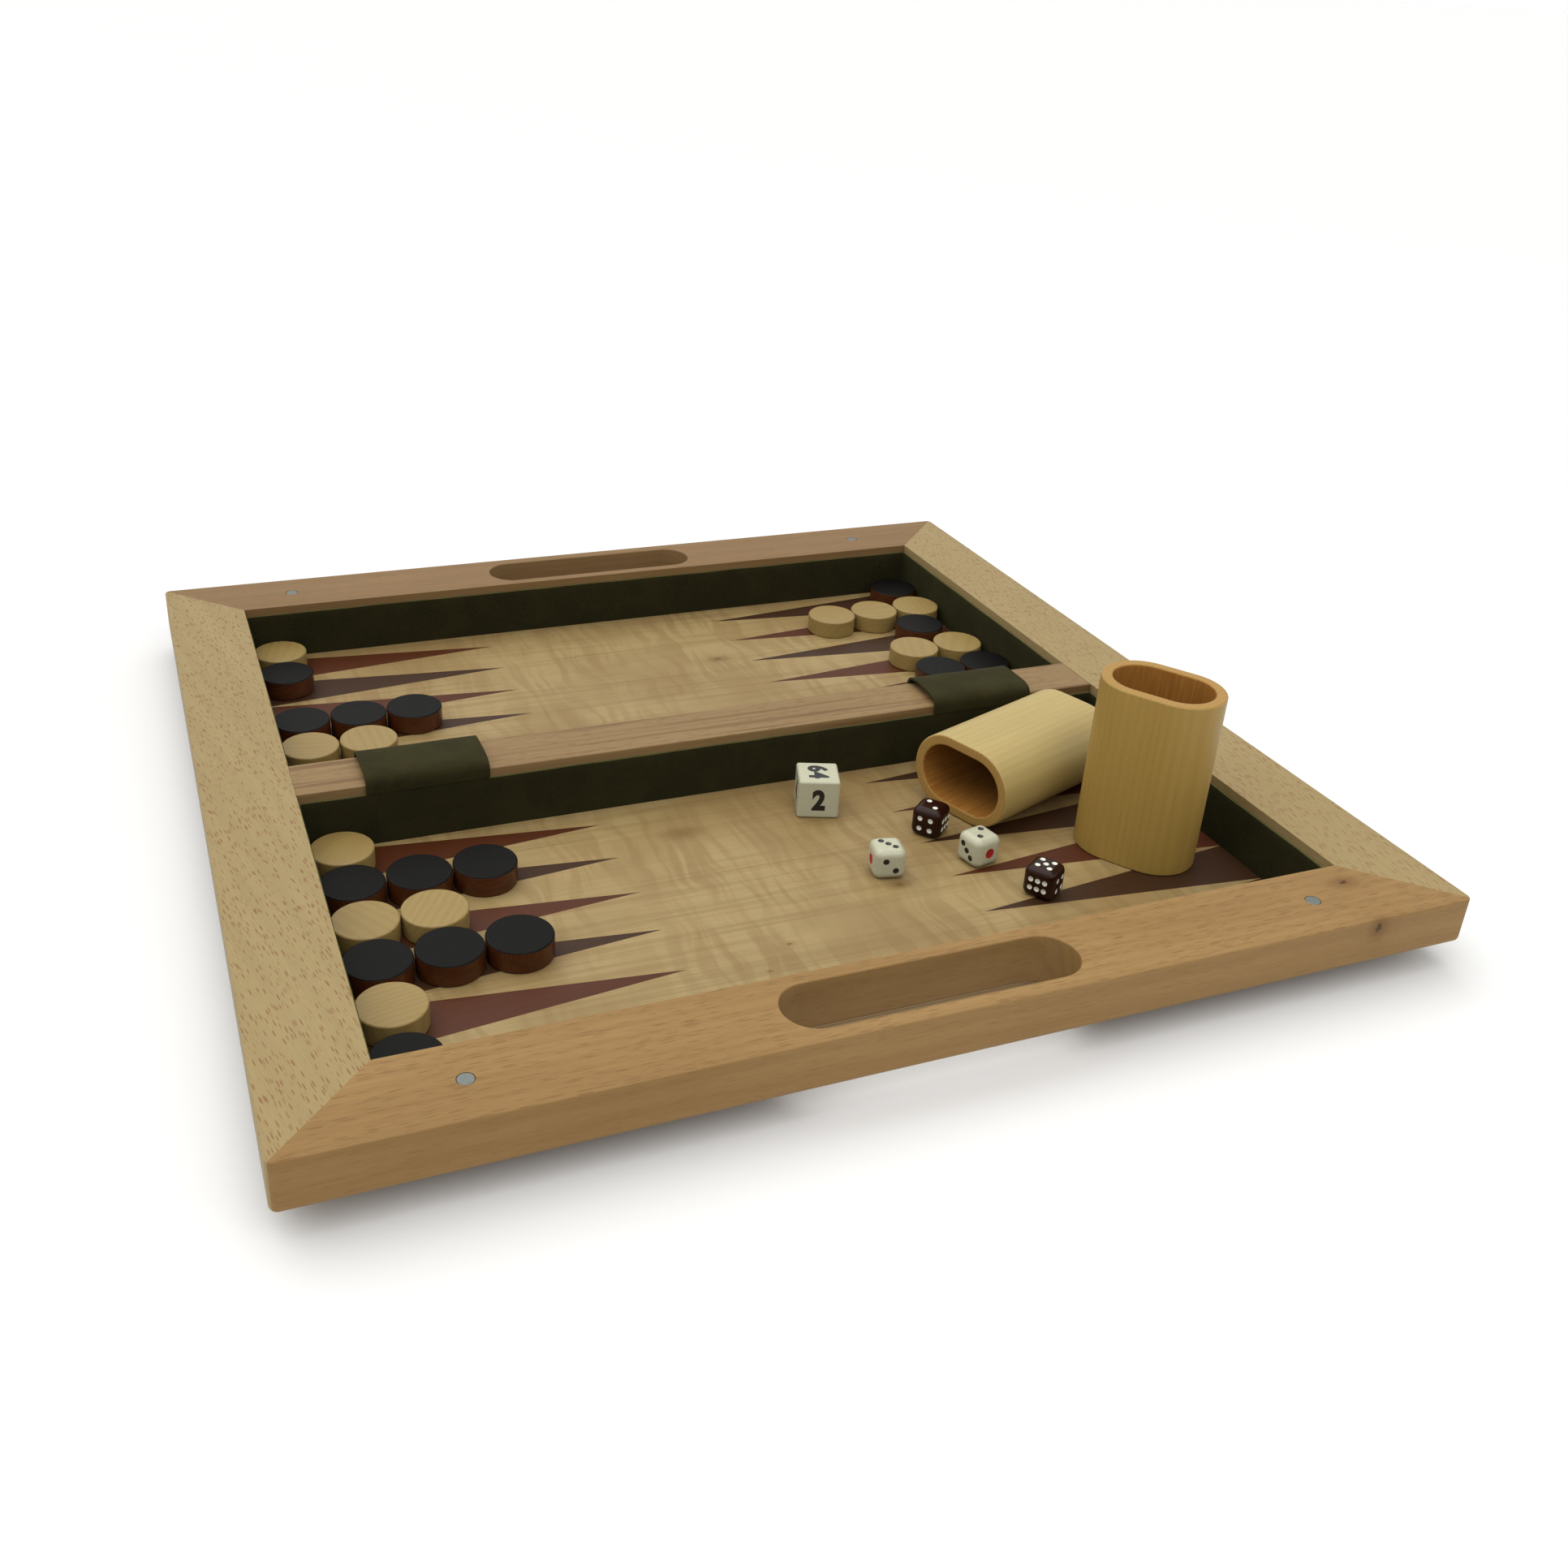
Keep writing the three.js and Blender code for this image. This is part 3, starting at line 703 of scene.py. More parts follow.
def rail_mesh(sizes, half_length, half_depth, slotted=False):
    """A mitred rail along the front edge, its edges rounded, with a hand slot and magnet pockets if slotted."""
    bm = bmesh.new()
    for strip in rail_strips(sizes, half_length, half_depth, slotted, True):
        plan_face(bm, strip, RAIL_TOP)
    bmesh.ops.remove_doubles(bm, verts=bm.verts, dist=TINY)
    pocket = MAGNET_RADIUS + sizes.pocket_gap
    open_edges = [edge for edge in bm.edges if len(edge.link_faces) == 1]
    pockets = [edge for edge in open_edges if slotted and near_magnet(edge, pocket)]
    walls = [edge for edge in open_edges if edge not in pockets]
    for edges, depth in ((walls, RAIL_TOP - RAIL_BOTTOM), (pockets, extent("front_left_magnet").z)):
        if not edges:
            continue
        grown = bmesh.ops.extrude_edge_only(bm, edges=edges)["geom"]
        points = [part for part in grown if isinstance(part, bmesh.types.BMVert)]
        bmesh.ops.translate(bm, vec=(0, 0, -depth), verts=points)
        if edges is pockets:
            rims = [part for part in grown if isinstance(part, bmesh.types.BMEdge)]
            bmesh.ops.holes_fill(bm, edges=rims, sides=0)
    for strip in rail_strips(sizes, half_length, half_depth, slotted, False):
        plan_face(bm, strip, RAIL_BOTTOM)
    bmesh.ops.remove_doubles(bm, verts=bm.verts, dist=TINY)
    outward(bm)
    rims = [
        edge for edge in bm.edges
        if level_and_upright(edge) and not on_mitre(edge, half_length, half_depth)
        and not (slotted and near_magnet(edge, pocket))]
    outer_y = -half_depth + sizes.corner_radius
    low_outer = [
        edge for edge in rims
        if all(point.co.z < RAIL_BOTTOM + TINY and point.co.y < outer_y for point in edge.verts)]
    round_edges(bm, low_outer, sizes.bottom_round, 5)
    rims = [
        edge for edge in bm.edges
        if level_and_upright(edge) and not on_mitre(edge, half_length, half_depth)
        and not (slotted and near_magnet(edge, pocket))]
    round_edges(bm, rims, sizes.eased_edge, 3)
    return bm


class BACKGAMMON_OT_make_rails(bpy.types.Operator):
    """Makes the four mitred rails, with the hand slots and the magnet pockets"""

    bl_idname = "backgammon.make_rails"
    bl_label = "Make Rails"

    def execute(self, context):
        sizes = context.scene.backgammon_tray
        turn = math.pi / 2
        for node, around, slot, look, slant, seed in (
                ("front_rail", 0, "orange_beech", "orange_beech", 0, 0),
                ("back_rail", 2 * turn, "orange_beech", "back_beech", 0, 12),
                ("left_rail", -turn, "pale_beech", "pale_beech", -0.2, 23),
                ("right_rail", turn, "pale_beech", "pale_beech", 0.05, 34)):
            slotted = slot == "orange_beech"
            across = (HALF_LENGTH, HALF_DEPTH) if slotted else (HALF_DEPTH, HALF_LENGTH)
            bm = rail_mesh(sizes, *across, slotted)
            lay_grain(bm, Matrix.Rotation(slant, 4, "Z"), seed)
            place(bm, turn=around)
            finished_piece(f"{node}_wood", bm, node, slot, look, flat_faces=True)
        return {"FINISHED"}


# Magnets

class BACKGAMMON_OT_make_magnets(bpy.types.Operator):
    """Makes the four disc magnets that lie flush in the rails"""

    bl_idname = "backgammon.make_magnets"
    bl_label = "Make Magnets"

    def execute(self, context):
        for node in nodes_called("front_left_magnet", "front_right_magnet", "back_left_magnet", "back_right_magnet"):
            size = extent(node)
            bm = bmesh.new()
            bmesh.ops.create_cone(
                bm, cap_ends=True, segments=40, radius1=size.x / 2, radius2=size.x / 2, depth=size.z)
            round_edges(bm, [edge for edge in bm.edges if level_and_upright(edge)], 0.25 * MM, 3)
            place(bm, middle(node))
            finished_piece(f"{node}_disc", bm, node, "magnet_nickel", "nickel", flat_faces=True)
        return {"FINISHED"}


# Floor panel, plinth and bar

class BACKGAMMON_OT_make_floor_panel(bpy.types.Operator):
    """Gives the floor panel and the plinth strips their plywood"""

    bl_idname = "backgammon.make_floor_panel"
    bl_label = "Make Floor Panel"

    def execute(self, context):
        plinth = [name for name in frame["nodes"] if name.endswith("_plinth_strip")]
        for node in ["base_panel", *plinth]:
            panel = frame["nodes"][node]
            panel.data.materials.clear()
            panel.data.materials.append(finish("plywood"))
        return {"FINISHED"}


def block_mesh(node, radius, segments=3):
    """A block of the node's size with all its edges eased."""
    bm = bmesh.new()
    bmesh.ops.create_cube(bm, size=1)
    bmesh.ops.scale(bm, vec=extent(node), verts=bm.verts)
    round_edges(bm, bm.edges, radius, segments)
    return bm


class BACKGAMMON_OT_make_bar(bpy.types.Operator):
    """Makes the bar between the two wells"""

    bl_idname = "backgammon.make_bar"
    bl_label = "Make Bar"

    def execute(self, context):
        bm = block_mesh("centre_bar", 0.5 * MM)
        lay_grain(bm, seed=45)
        place(bm, middle("centre_bar"))
        finished_piece("centre_bar_wood", bm, "centre_bar", "orange_beech", "bar_beech", flat_faces=True)
        return {"FINISHED"}


# Fields and points

def point_rows(sizes, well):
    """For each point: its side, base ends and tip in plan, and the name of its veneer."""
    pitch = sizes.point_pitch
    centre = sizes.front_points_y if well == "front" else sizes.back_points_y
    for side, length, first in (
            (-1, sizes.left_point_length, "red"), (1, sizes.right_point_length, "brown")):
        other = "brown" if first == "red" else "red"
        for row in range(6):
            y = centre + pitch * (2.5 - row)
            base = side * WELL_HALF_LENGTH
            tip = side * (WELL_HALF_LENGTH - length)
            yield side, (base, y + pitch / 2), (tip, y), (base, y - pitch / 2), other if row % 2 else first


def plate_mesh(outlines, bottom, top):
    bm = bmesh.new()
    faces = [plan_face(bm, outline, bottom) for outline in outlines]
    lift(bm, faces, top - bottom)
    outward(bm)
    return bm


class BACKGAMMON_OT_make_fields(bpy.types.Operator):
    """Makes the maple fields and the veneer points let into them"""

    bl_idname = "backgammon.make_fields"
    bl_label = "Make Fields"

    def execute(self, context):
        sizes = context.scene.backgammon_tray
        for index, well in enumerate(("front", "back")):
            node = f"{well}_field"
            low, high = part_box(node)
            rows = list(point_rows(sizes, well))
            left = [spot for side, a, tip, b, _ in rows if side < 0 for spot in (a, tip, b)]
            right = [spot for side, a, tip, b, _ in rows if side > 0 for spot in (a, tip, b)]
            outline = [(low.x, high.y), *left, (low.x, low.y), (high.x, low.y), *right[::-1], (high.x, high.y)]
            outline = [spot for i, spot in enumerate(outline) if spot != outline[i - 1]]
            bm = plate_mesh([outline], low.z, high.z)
            lay_grain(bm)
            field = finished_piece(f"{node}_maple", bm, node, "curly_maple", "curly_maple")
            for veneer in ("red", "brown"):
                spots = [(a, tip, b) for _, a, tip, b, name in rows if name == veneer]
                bm = plate_mesh(spots, low.z, high.z)
                layer = bm.verts.layers.float_vector.new("grain")
                for corner in bm.verts:
                    along, across, up = corner.co
                    corner[layer] = (along, across + 0.3 * index, up + round(across / sizes.point_pitch))
                finished_piece(f"{well}_{veneer}_points", bm, node, "curly_maple", f"{veneer}_veneer")
        return {"FINISHED"}


# Felt lining

def wavering(point, scale, amount, seed):
    """A small smooth shift, different at each place."""
    return Vector(noise.noise_vector(point * scale + Vector((seed, 0, 0)))) * amount


def rounded_loop(low, high, radius, spacing):
    """A rectangle with round corners in plan, its straight runs in equal steps."""
    corners = [(high.x - radius, high.y - radius, 0), (low.x + radius, high.y - radius, 1),
               (low.x + radius, low.y + radius, 2), (high.x - radius, low.y + radius, 3)]
    loop = []
    for x, y, quarter in corners:
        start = quarter * math.pi / 2
        turned = arc(x, y, radius, start, start + math.pi / 2, 5)
        if loop:
            loop += steps_between(loop[-1], turned[0], spacing)
        loop += turned
    return loop + steps_between(loop[-1], loop[0], spacing)


def steps_between(start, stop, spacing):
    """The points between two others, both left out."""
    count = max(1, round(math.dist(start, stop) / spacing))
    return [
        (start[0] + (stop[0] - start[0]) * i / count, start[1] + (stop[1] - start[1]) * i / count)
        for i in range(1, count)]


class BACKGAMMON_OT_make_felt(bpy.types.Operator):
    """Makes the felt bands that line the walls of the two wells"""

    bl_idname = "backgammon.make_felt"
    bl_label = "Make Felt"

    def execute(self, context):
        sizes = context.scene.backgammon_tray
        for well, seed in (("front", 3.1), ("back", 8.7)):
            node = f"{well}_well_felt"
            low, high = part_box(node)
            inset = Vector((0.05 * MM, 0.05 * MM, 0))
            loop = rounded_loop(low + inset, high - inset, sizes.felt_corner, 6 * MM)
            bm = bmesh.new()
            points = [bm.verts.new((x, y, low.z + 0.05 * MM)) for x, y in loop]
            edges = [bm.edges.new((a, b)) for a, b in zip(points, points[1:] + points[:1])]
            rows = 6
            for _ in range(rows):
                grown = bmesh.ops.extrude_edge_only(bm, edges=edges)["geom"]
                risen = [part for part in grown if isinstance(part, bmesh.types.BMVert)]
                bmesh.ops.translate(bm, vec=(0, 0, (high.z - low.z - 0.05 * MM) / rows), verts=risen)
                edges = [part for part in grown if isinstance(part, bmesh.types.BMEdge)
                         and all(point in risen for point in part.verts)]
            centre = (low + high) / 2
            outward(bm)
            thick = sizes.felt_thickness
            bmesh.ops.solidify(bm, geom=bm.faces, thickness=thick)
            outward(bm)
            for point in bm.verts:
                inner = min(
                    (high.x - low.x) / 2 - abs(point.co.x - centre.x),
                    (high.y - low.y) / 2 - abs(point.co.y - centre.y)) > thick / 2
                shift = wavering(point.co, 60, 0.18 * MM, seed)
                if inner:
                    point.co += Vector((shift.x, shift.y, 0))
                if point.co.z > high.z - 0.5 * MM:
                    point.co.z += min(0, shift.z * 1.6 - 0.12 * MM)
            tops = [edge for edge in bm.edges if level_and_upright(edge) and edge.verts[0].co.z > high.z - MM]
            round_edges(bm, tops, 0.3 * MM, 2)
            felt = finished_piece(f"{well}_felt_band", bm, node, "green_felt", "green_felt")
        return {"FINISHED"}


# Suede straps

def arch(half_width, height, squareness, steps):
    """A squarish arch in section, from one foot to the other."""
    points = []
    for step in range(steps + 1):
        angle = math.pi * step / steps
        across = math.copysign(abs(math.cos(angle)) ** (2 / squareness), math.cos(angle))
        points.append((half_width * across, height * math.sin(angle) ** (2 / squareness)))
    return points


class BACKGAMMON_OT_make_straps(bpy.types.Operator):
    """Makes the two suede straps that arch over the bar"""

    bl_idname = "backgammon.make_straps"
    bl_label = "Make Straps"

    def execute(self, context):
        sizes = context.scene.backgammon_tray
        for node, seed in (("left_strap", 1.7), ("right_strap", 5.3)):
            low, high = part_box(node)
            thick = sizes.strap_thickness
            section = arch((high.y - low.y) / 2, high.z - low.z, 4, 44)
            bm = bmesh.new()
            start = low.x + 0.2 * MM
            points = [bm.verts.new((start, y, low.z + z)) for y, z in section]
            edges = [bm.edges.new(pair) for pair in zip(points, points[1:])]
            columns = 26
            for _ in range(columns):
                grown = bmesh.ops.extrude_edge_only(bm, edges=edges)["geom"]
                moved = [part for part in grown if isinstance(part, bmesh.types.BMVert)]
                bmesh.ops.translate(bm, vec=((high.x - low.x - 0.4 * MM) / columns, 0, 0), verts=moved)
                edges = [part for part in grown if isinstance(part, bmesh.types.BMEdge)
                         and all(point in moved for point in part.verts)]
            outward(bm)
            if max(bm.faces, key=lambda face: face.calc_center_median().z).normal.z < 0:
                bmesh.ops.reverse_faces(bm, faces=bm.faces)
            bmesh.ops.solidify(bm, geom=bm.faces, thickness=thick)
            outward(bm)
            for point in bm.verts:
                share = (point.co.z - low.z) / (high.z - low.z)
                shift = wavering(point.co, 45, 0.5 * MM, seed)
                point.co.z += min(0, shift.z - 0.15 * MM) * share
                point.co.x += shift.x * 0.7
            strap = finished_piece(f"{node}_suede", bm, node, "olive_suede", "olive_suede")
        return {"FINISHED"}


# Checkers

class BACKGAMMON_OT_make_checkers(bpy.types.Operator):
    """Makes the turned checkers, each cut from its own piece of wood"""

    bl_idname = "backgammon.make_checkers"
    bl_label = "Make Checkers"

    def execute(self, context):
        sizes = context.scene.backgammon_pieces
        for seed, node in enumerate(nodes_called("light_checker", "dark_checker"), start=1):
            size = extent(node)
            dark = node.startswith("dark")
            bm = bmesh.new()
            bmesh.ops.create_cone(
                bm, cap_ends=True, segments=sizes.checker_sides, radius1=size.y / 2, radius2=size.y / 2, depth=size.z)
            rims = [edge for edge in bm.edges if level_and_upright(edge)]
            round_edges(bm, rims, sizes.checker_round, 4)
            for face in bm.faces:
                face.material_index = 1 if dark and abs(face.normal.z) < 0.35 else 0
            chance = random.Random(100 + seed)
            turn = Matrix.Rotation(chance.uniform(0, math.pi), 4, "Z")
            tip = Matrix.Rotation(chance.uniform(-0.25, 0.25), 4, "Y")
            lay_grain(bm, tip @ turn, seed)
            place(bm, middle(node))
            looks = ("dark_stain", "dark_side") if dark else ("light_wood",)
            finished_piece(f"{node}_turned", bm, node, "dark_wood" if dark else "light_wood", *looks, flat_faces=True)
        return {"FINISHED"}


# Dice cups

CUP_EXTRA_LENGTH = 16.4 * MM


def stadium(length, width, steps=20):
    radius = width / 2
    reach = length / 2 - radius
    turn = math.pi / 2
    return arc(reach, 0, radius, -turn, turn, steps) + arc(-reach, 0, radius, turn, 3 * turn, steps)


def cup_mesh(sizes, length, width, height):
    """An oval cup standing on its floor, its middle at the origin."""
    bm = bmesh.new()
    floor = plan_face(bm, stadium(length, width), -height / 2)
    (top,) = lift(bm, [floor], height)
    bmesh.ops.inset_region(bm, faces=[top], thickness=sizes.cup_wall)
    lift(bm, [top], sizes.cup_floor - height)
    bmesh.ops.delete(bm, geom=[top], context="FACES_ONLY")
    outward(bm)
    reach = (length - width) / 2
    for face in bm.faces:
        inside = all(
            math.hypot(max(abs(point.co.x) - reach, 0), point.co.y) < (width - sizes.cup_wall) / 2
            for point in face.verts)
        face.material_index = 2 if inside else 1 if abs(face.normal.z) > 0.9 else 0
    round_edges(bm, [edge for edge in bm.edges if level_and_upright(edge)], sizes.cup_round, 4)
    return bm


class BACKGAMMON_OT_make_cups(bpy.types.Operator):
    """Makes the standing and the lying dice cup"""

    bl_idname = "backgammon.make_cups"
    bl_label = "Make Cups"

    def execute(self, context):
        sizes = context.scene.backgammon_pieces
        width = extent("lying_cup").z
        height = extent("standing_cup").z
        length = width + CUP_EXTRA_LENGTH
        along_grain = Matrix.Rotation(math.pi / 2, 4, "Y")
        # The lying cup takes the paler copy of the cup wood, which paints the light falling on its upturned side
        for node, turn, lying, seed, look in (
                ("standing_cup", -56, False, 61, "cup_wood"), ("lying_cup", 20, True, 72, "pale_cup_wood")):
            bm = cup_mesh(sizes, length, width, height)
            lay_grain(bm, along_grain, seed)
            if lying:
                down = Matrix.Rotation(math.pi / 2, 4, "X") @ Matrix.Rotation(-math.pi / 2, 4, "Y")
                bmesh.ops.transform(bm, matrix=down, verts=bm.verts)
            place(bm, middle(node), math.radians(turn))
            finished_piece(
                f"{node}_wood", bm, node, "cup_wood", look, "cup_rim", "cup_inside", flat_faces=True)
        return {"FINISHED"}


# Dice and doubling cube

def cut_away(body, cutter):
    """Cuts the cutter out of the body, and leaves the cutter's own finish in the hollows."""
    for piece in (body, cutter):
        bpy.context.scene.collection.objects.link(piece)
    cut = body.modifiers.new("Cut", "BOOLEAN")
    cut.operation = "DIFFERENCE"
    cut.solver = "EXACT"
    cut.object = cutter
    cut.material_mode = "TRANSFER"
    graph = bpy.context.evaluated_depsgraph_get()
    mesh = bpy.data.meshes.new_from_object(body.evaluated_get(graph))
    name = body.name
    bpy.data.objects.remove(cutter)
    bpy.data.objects.remove(body)
    mesh.name = name
    return bpy.data.objects.new(name, mesh)


def loose_object(name, bm, looks):
    mesh = bpy.data.meshes.new(name)
    bm.to_mesh(mesh)
    bm.free()
    for look in looks:
        mesh.materials.append(finish(look))
    return bpy.data.objects.new(name, mesh)


def face_axes(side):
    """Right and up, seen from outside, on the face that looks along side."""
    looks = {
        "front": ((1, 0, 0), (0, 0, 1)), "back": ((-1, 0, 0), (0, 0, 1)),
        "left": ((0, -1, 0), (0, 0, 1)), "right": ((0, 1, 0), (0, 0, 1)),
        "top": ((1, 0, 0), (0, 1, 0)), "bottom": ((-1, 0, 0), (0, 1, 0)),
    }
    right, up = (Vector(axis) for axis in looks[side])
    return right, up, right.cross(up)


def on_face(side, reach, across=0.0, up_by=0.0, turn=0.0):
    """The place on a face of a cube, with its Z pointing out of the face."""
    right, up, out = face_axes(side)
    spot = Matrix.Translation(right * across + up * up_by + out * reach)
    return spot @ Matrix((right, up, out)).transposed().to_4x4() @ Matrix.Rotation(turn, 4, "Z")


def pip_places(number, lean):
    """Where the pips of a face lie, in millimetres from its middle. lean is 1 where a diagonal rises."""
    if number in (2, 3):
        reach = 2.3 if number == 2 else 2.6
        ends = [(-reach, -lean * reach), (reach, lean * reach)]
        return ends if number == 2 else [*ends, (0, 0)]
    if number in (4, 5):
        reach = 2.5 if number == 4 else 2.7
        square = [(x, y) for x in (-reach, reach) for y in (-reach, reach)]
        return square if number == 4 else [*square, (0, 0)]
    if number == 6:
        return [(x, y) for x in (-3.2, 0, 3.2) for y in (-2, 2)]
    return [(0, 0)]


# Each die's turn in degrees, and the numbers on its front, left and top
DICE = {
    "left_white_die": (-12, 2, 1, 3),
    "right_white_die": (13, 1, 3, 2),
    "back_brown_die": (39, 6, 4, 2),
    "front_brown_die": (34, 4, 6, 5),
}


def die_pips(sizes, faces, half, wide_one):
    """One cutter with a round nose for each pip."""
    bm = bmesh.new()
    for side, number in faces.items():
        width = sizes.one_width if number == 1 and wide_one else sizes.pip_width if wide_one else sizes.small_pip_width
        depth = sizes.pip_depth
        ball = ((width / 2) ** 2 + depth ** 2) / (2 * depth)
        lean = 1 if number == 2 and side == "top" else -1
        for across, up_by in pip_places(number, lean):
            spot = on_face(side, half + ball - depth, across * MM, up_by * MM)
            made = bmesh.ops.create_uvsphere(bm, u_segments=28, v_segments=24, radius=ball, matrix=spot)
            paint_index = 2 if number == 1 else 1
            for point in made["verts"]:
                for face in point.link_faces:
                    face.material_index = paint_index
    return bm


class BACKGAMMON_OT_make_dice(bpy.types.Operator):
    """Makes the two white and the two brown dice, with drilled and painted pips"""

    bl_idname = "backgammon.make_dice"
    bl_label = "Make Dice"

    def execute(self, context):
        sizes = context.scene.backgammon_pieces
        edge = extent("left_white_die").z
        for node, (turn, front, left, top) in DICE.items():
            white = "white" in node
            looks = ("ivory_plastic", "black_paint", "red_paint") if white else (
                "brown_plastic", "white_paint", "white_paint")
            bm = bmesh.new()
            bmesh.ops.create_cube(bm, size=edge)
            round_edges(bm, bm.edges, sizes.die_round, 8)
            body = loose_object(f"{node}_pipped", bm, looks)
            faces = {"front": front, "back": 7 - front, "left": left, "right": 7 - left, "top": top, "bottom": 7 - top}
            cutter = loose_object("pips", die_pips(sizes, faces, edge / 2, white), looks)
            piece = cut_away(body, cutter)
            piece.data.transform(Matrix.Translation(middle(node)) @ Matrix.Rotation(math.radians(turn), 4, "Z"))
            settle(piece, node, (), flat_faces=True)
        return {"FINISHED"}


# The doubling cube's numbers, and how far each is turned on its face
CUBE_TURN = -19.5
CUBE_NUMBERS = {"front": ("2", 0), "left": ("4", 0), "top": ("64", -90), "right": ("16", 0), "back": ("8", 0),
                "bottom": ("32", 0)}


def numeral_mesh(text, size, depth):
    """A bold numeral as a solid of a given width and height, its middle at the origin."""
    curve = bpy.data.curves.new("numeral", "FONT")
    curve.body = text
    curve.extrude = 0.5
    curve.bevel_depth = 0.05
    curve.bevel_resolution = 0
    curve.resolution_u = 6
    curve.space_character = 1.12
    words = bpy.data.objects.new("numeral", curve)
    bpy.context.scene.collection.objects.link(words)
    graph = bpy.context.evaluated_depsgraph_get()
    mesh = bpy.data.meshes.new_from_object(words.evaluated_get(graph))
    bpy.data.objects.remove(words)
    points = [point.co for point in mesh.vertices]
    low = Vector([min(point[axis] for point in points) for axis in range(3)])
    high = Vector([max(point[axis] for point in points) for axis in range(3)])
    scale = Matrix.Diagonal((size[0] / (high.x - low.x), size[1] / (high.y - low.y), 2 * depth, 1))
    mesh.transform(scale @ Matrix.Translation(-(low + high) / 2))
    return mesh


class BACKGAMMON_OT_make_doubling_cube(bpy.types.Operator):
    """Makes the doubling cube with its filled numerals"""

    bl_idname = "backgammon.make_doubling_cube"
    bl_label = "Make Doubling Cube"

    def execute(self, context):
        sizes = context.scene.backgammon_pieces
        node = "doubling_cube"
        edge = extent(node).z
        bm = bmesh.new()
        for side, (text, turn) in CUBE_NUMBERS.items():
            pair = len(text) == 2
            size = (sizes.pair_width, sizes.pair_height) if pair else (sizes.numeral_width, sizes.numeral_height)
            numeral = numeral_mesh(text, size, sizes.numeral_depth)
            numeral.transform(on_face(side, edge / 2 - sizes.numeral_depth + 0.04 * MM, turn=math.radians(turn)))
            bm.from_mesh(numeral)
            bpy.data.meshes.remove(numeral)
        bmesh.ops.remove_doubles(bm, verts=bm.verts, dist=5 * TINY)
        for face in bm.faces:
            face.material_index = 1
        body = bmesh.new()
        bmesh.ops.create_cube(body, size=edge)
        round_edges(body, body.edges, sizes.cube_round, 5)
        plain = bpy.data.meshes.new("cube")
        body.to_mesh(plain)
        body.free()
        bm.from_mesh(plain)
        bpy.data.meshes.remove(plain)
        outward(bm)
        place(bm, middle(node), math.radians(CUBE_TURN))
        finished_piece(
            f"{node}_numbered", bm, node, "white_plastic", "ivory_plastic", "black_paint", flat_faces=True)
        return {"FINISHED"}


# Stage

def aim_light(light, stand, away):
    """Stands a light where it shines against the direction given by away."""
    light.color = (1, 1, 0.97)
    lamp = bpy.data.objects.new(light.name, light)
    lamp.location = stand
    lamp.rotation_euler = Vector(away).to_track_quat("Z", "Y").to_euler()
    bpy.context.scene.collection.objects.link(lamp)


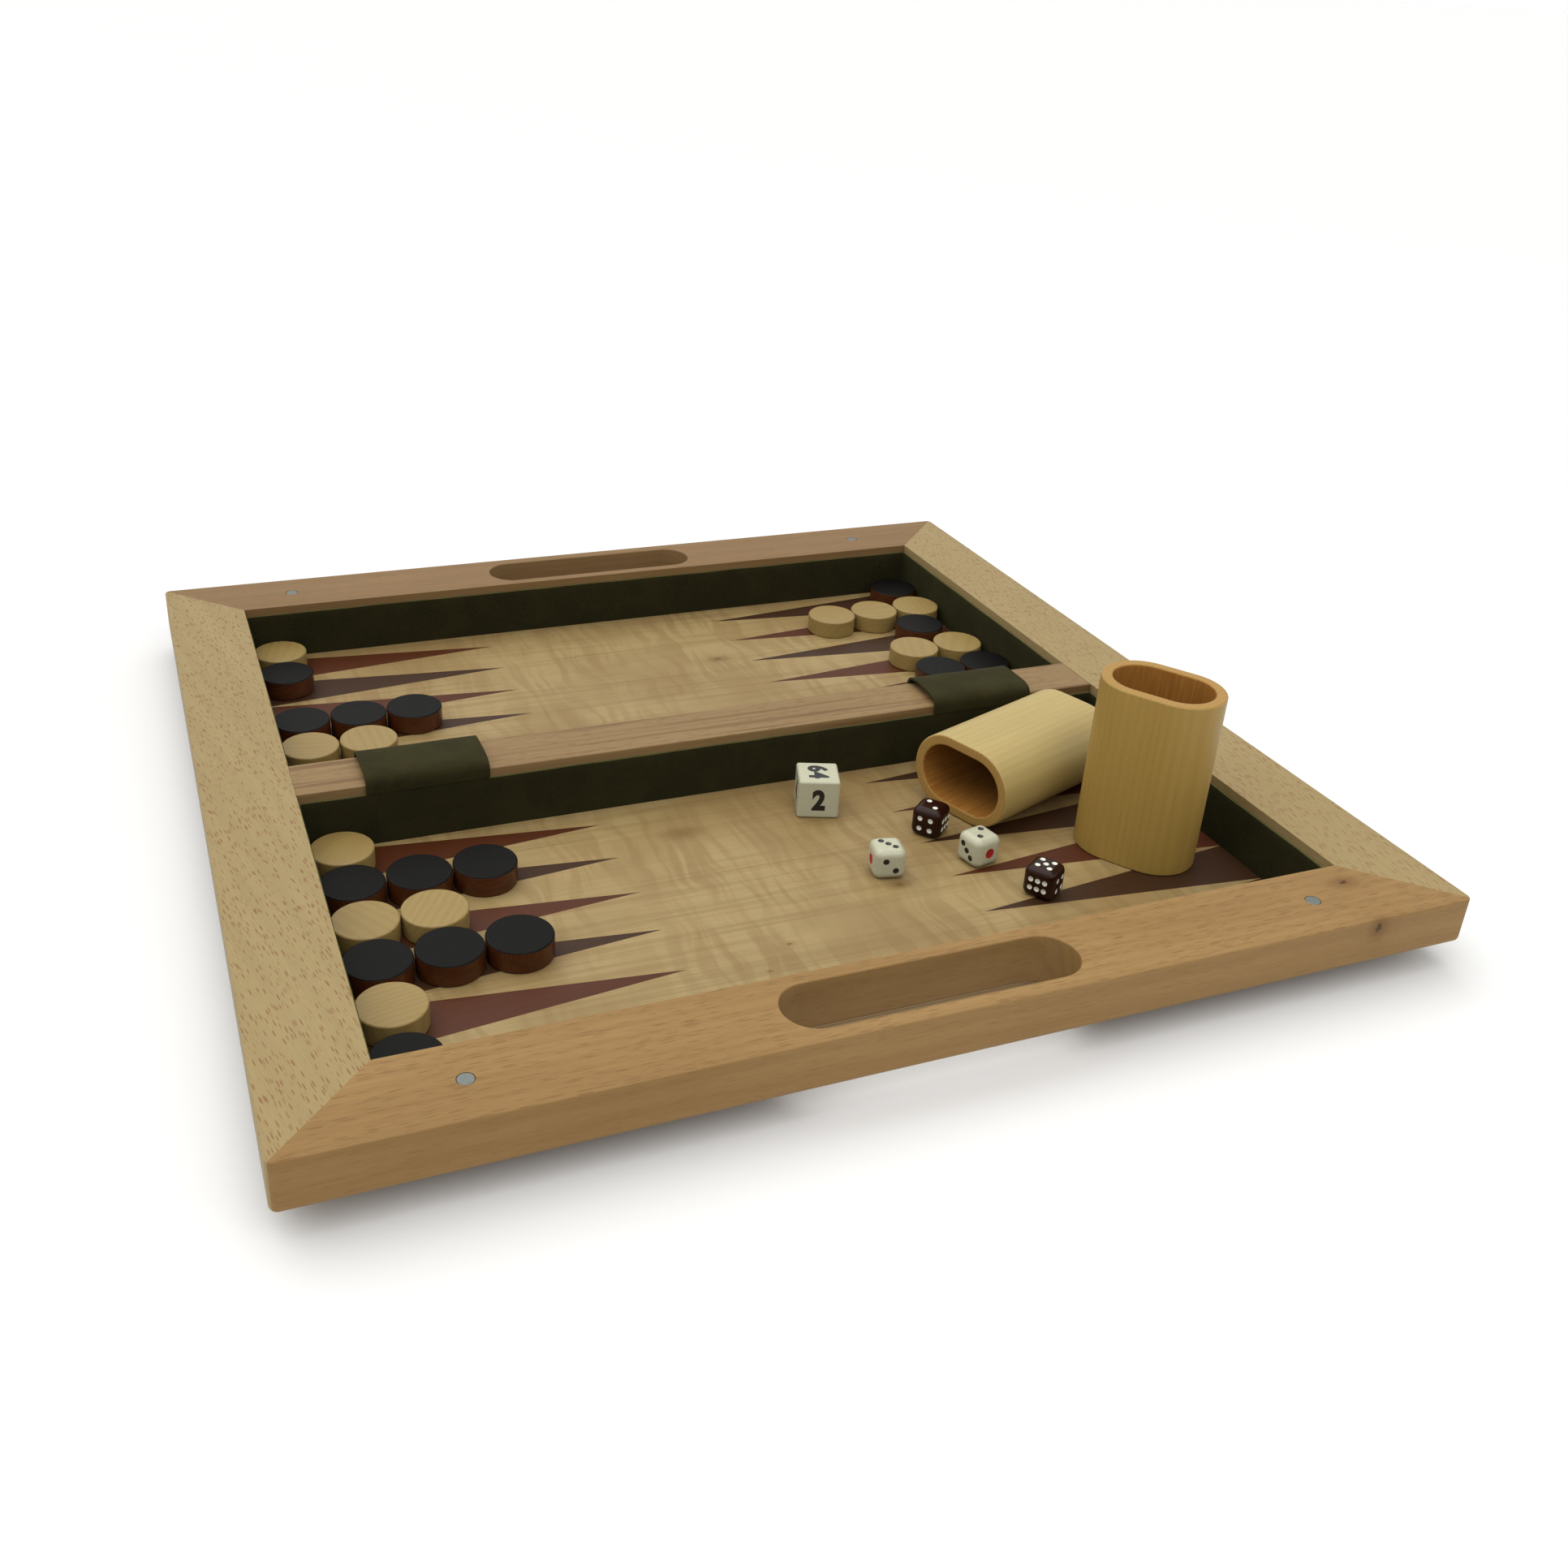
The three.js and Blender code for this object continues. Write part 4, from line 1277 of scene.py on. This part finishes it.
class BACKGAMMON_OT_make_stage(bpy.types.Operator):
    """Makes the floor, the lights and the camera"""

    bl_idname = "backgammon.make_stage"
    bl_label = "Make Stage"

    def execute(self, context):
        settings = context.scene.backgammon_stage
        bm = bmesh.new()
        bmesh.ops.create_circle(bm, cap_ends=True, segments=96, radius=30)
        mesh = bpy.data.meshes.new("floor")
        bm.to_mesh(mesh)
        bm.free()
        look = Look("pale_floor")
        look.feed(look.shader.inputs["Base Color"], tuple(settings.floor))
        look.set(roughness=0.9)
        mesh.materials.append(look.material)
        floor = bpy.data.objects.new("floor", mesh)
        context.scene.collection.objects.link(floor)

        world = bpy.data.worlds.new("studio")
        context.scene.world = world
        world.use_nodes = True
        nodes, links = world.node_tree.nodes, world.node_tree.links
        sky = nodes["Background"]
        sky.inputs["Color"].default_value = (1, 1, 1, 1)
        upright = nodes.new("ShaderNodeSeparateXYZ")
        links.new(nodes.new("ShaderNodeTexCoord").outputs["Generated"], upright.inputs[0])
        glow = nodes.new("ShaderNodeMapRange")
        glow.inputs["To Min"].default_value = settings.horizon
        glow.inputs["To Max"].default_value = settings.zenith
        links.new(upright.outputs["Z"], glow.inputs["Value"])
        seen = nodes.new("ShaderNodeMix")
        links.new(nodes.new("ShaderNodeLightPath").outputs["Is Camera Ray"], seen.inputs[0])
        links.new(glow.outputs[0], seen.inputs[2])
        seen.inputs[3].default_value = 1
        links.new(seen.outputs[0], sky.inputs["Strength"])

        overhead = bpy.data.lights.new("softbox", "SUN")
        overhead.energy = settings.softbox
        overhead.angle = settings.softbox_spread
        aim_light(overhead, (0, 0, 0), (-0.3, 0.3, 1))
        front = bpy.data.lights.new("fill", "AREA")
        front.energy = settings.fill
        front.size = 0.7
        aim_light(front, (0.1, -0.9, 0.95), (0.1, -1, 1))

        lens = bpy.data.cameras.new("camera")
        lens.sensor_width = 36
        lens.lens = settings.camera_lens
        lens.shift_x = settings.shift_x
        lens.shift_y = settings.shift_y
        lens.clip_start = 0.01
        camera = bpy.data.objects.new("camera", lens)
        camera.location = settings.camera_place
        camera.rotation_euler = Euler(settings.camera_turn, "XYZ")
        context.scene.collection.objects.link(camera)
        context.scene.camera = camera
        context.scene.view_settings.view_transform = "Standard"
        return {"FINISHED"}


class BACKGAMMON_PT_set(bpy.types.Panel):
    """The backgammon set's tools and sizes"""

    bl_label = "Backgammon Set"
    bl_idname = "BACKGAMMON_PT_set"
    bl_space_type = "VIEW_3D"
    bl_region_type = "UI"
    bl_category = "Backgammon"

    def draw(self, context):
        for operator in OPERATORS:
            self.layout.operator(operator.bl_idname)
        for group in (
                context.scene.backgammon_tray, context.scene.backgammon_pieces,
                context.scene.backgammon_colours, context.scene.backgammon_stage):
            box = self.layout.box()
            for name in group.__annotations__:
                box.prop(group, name)


GROUPS = {
    "backgammon_tray": BackgammonTraySizes,
    "backgammon_pieces": BackgammonPieceSizes,
    "backgammon_colours": BackgammonColours,
    "backgammon_stage": BackgammonStageSettings,
}
OPERATORS = (
    BACKGAMMON_OT_make_rails,
    BACKGAMMON_OT_make_magnets,
    BACKGAMMON_OT_make_floor_panel,
    BACKGAMMON_OT_make_bar,
    BACKGAMMON_OT_make_fields,
    BACKGAMMON_OT_make_felt,
    BACKGAMMON_OT_make_straps,
    BACKGAMMON_OT_make_checkers,
    BACKGAMMON_OT_make_cups,
    BACKGAMMON_OT_make_dice,
    BACKGAMMON_OT_make_doubling_cube,
    BACKGAMMON_OT_make_stage,
)


def register():
    for group in GROUPS.values():
        bpy.utils.register_class(group)
    for name, group in GROUPS.items():
        setattr(bpy.types.Scene, name, PointerProperty(type=group))
    for operator in OPERATORS:
        bpy.utils.register_class(operator)
    bpy.utils.register_class(BACKGAMMON_PT_set)


def unregister():
    bpy.utils.unregister_class(BACKGAMMON_PT_set)
    for operator in reversed(OPERATORS):
        bpy.utils.unregister_class(operator)
    for name, group in reversed(GROUPS.items()):
        delattr(bpy.types.Scene, name)
        bpy.utils.unregister_class(group)


def main():
    register()
    for operator in OPERATORS:
        getattr(bpy.ops.backgammon, operator.bl_idname.split(".")[1])()


if __name__ == "__main__":
    main()
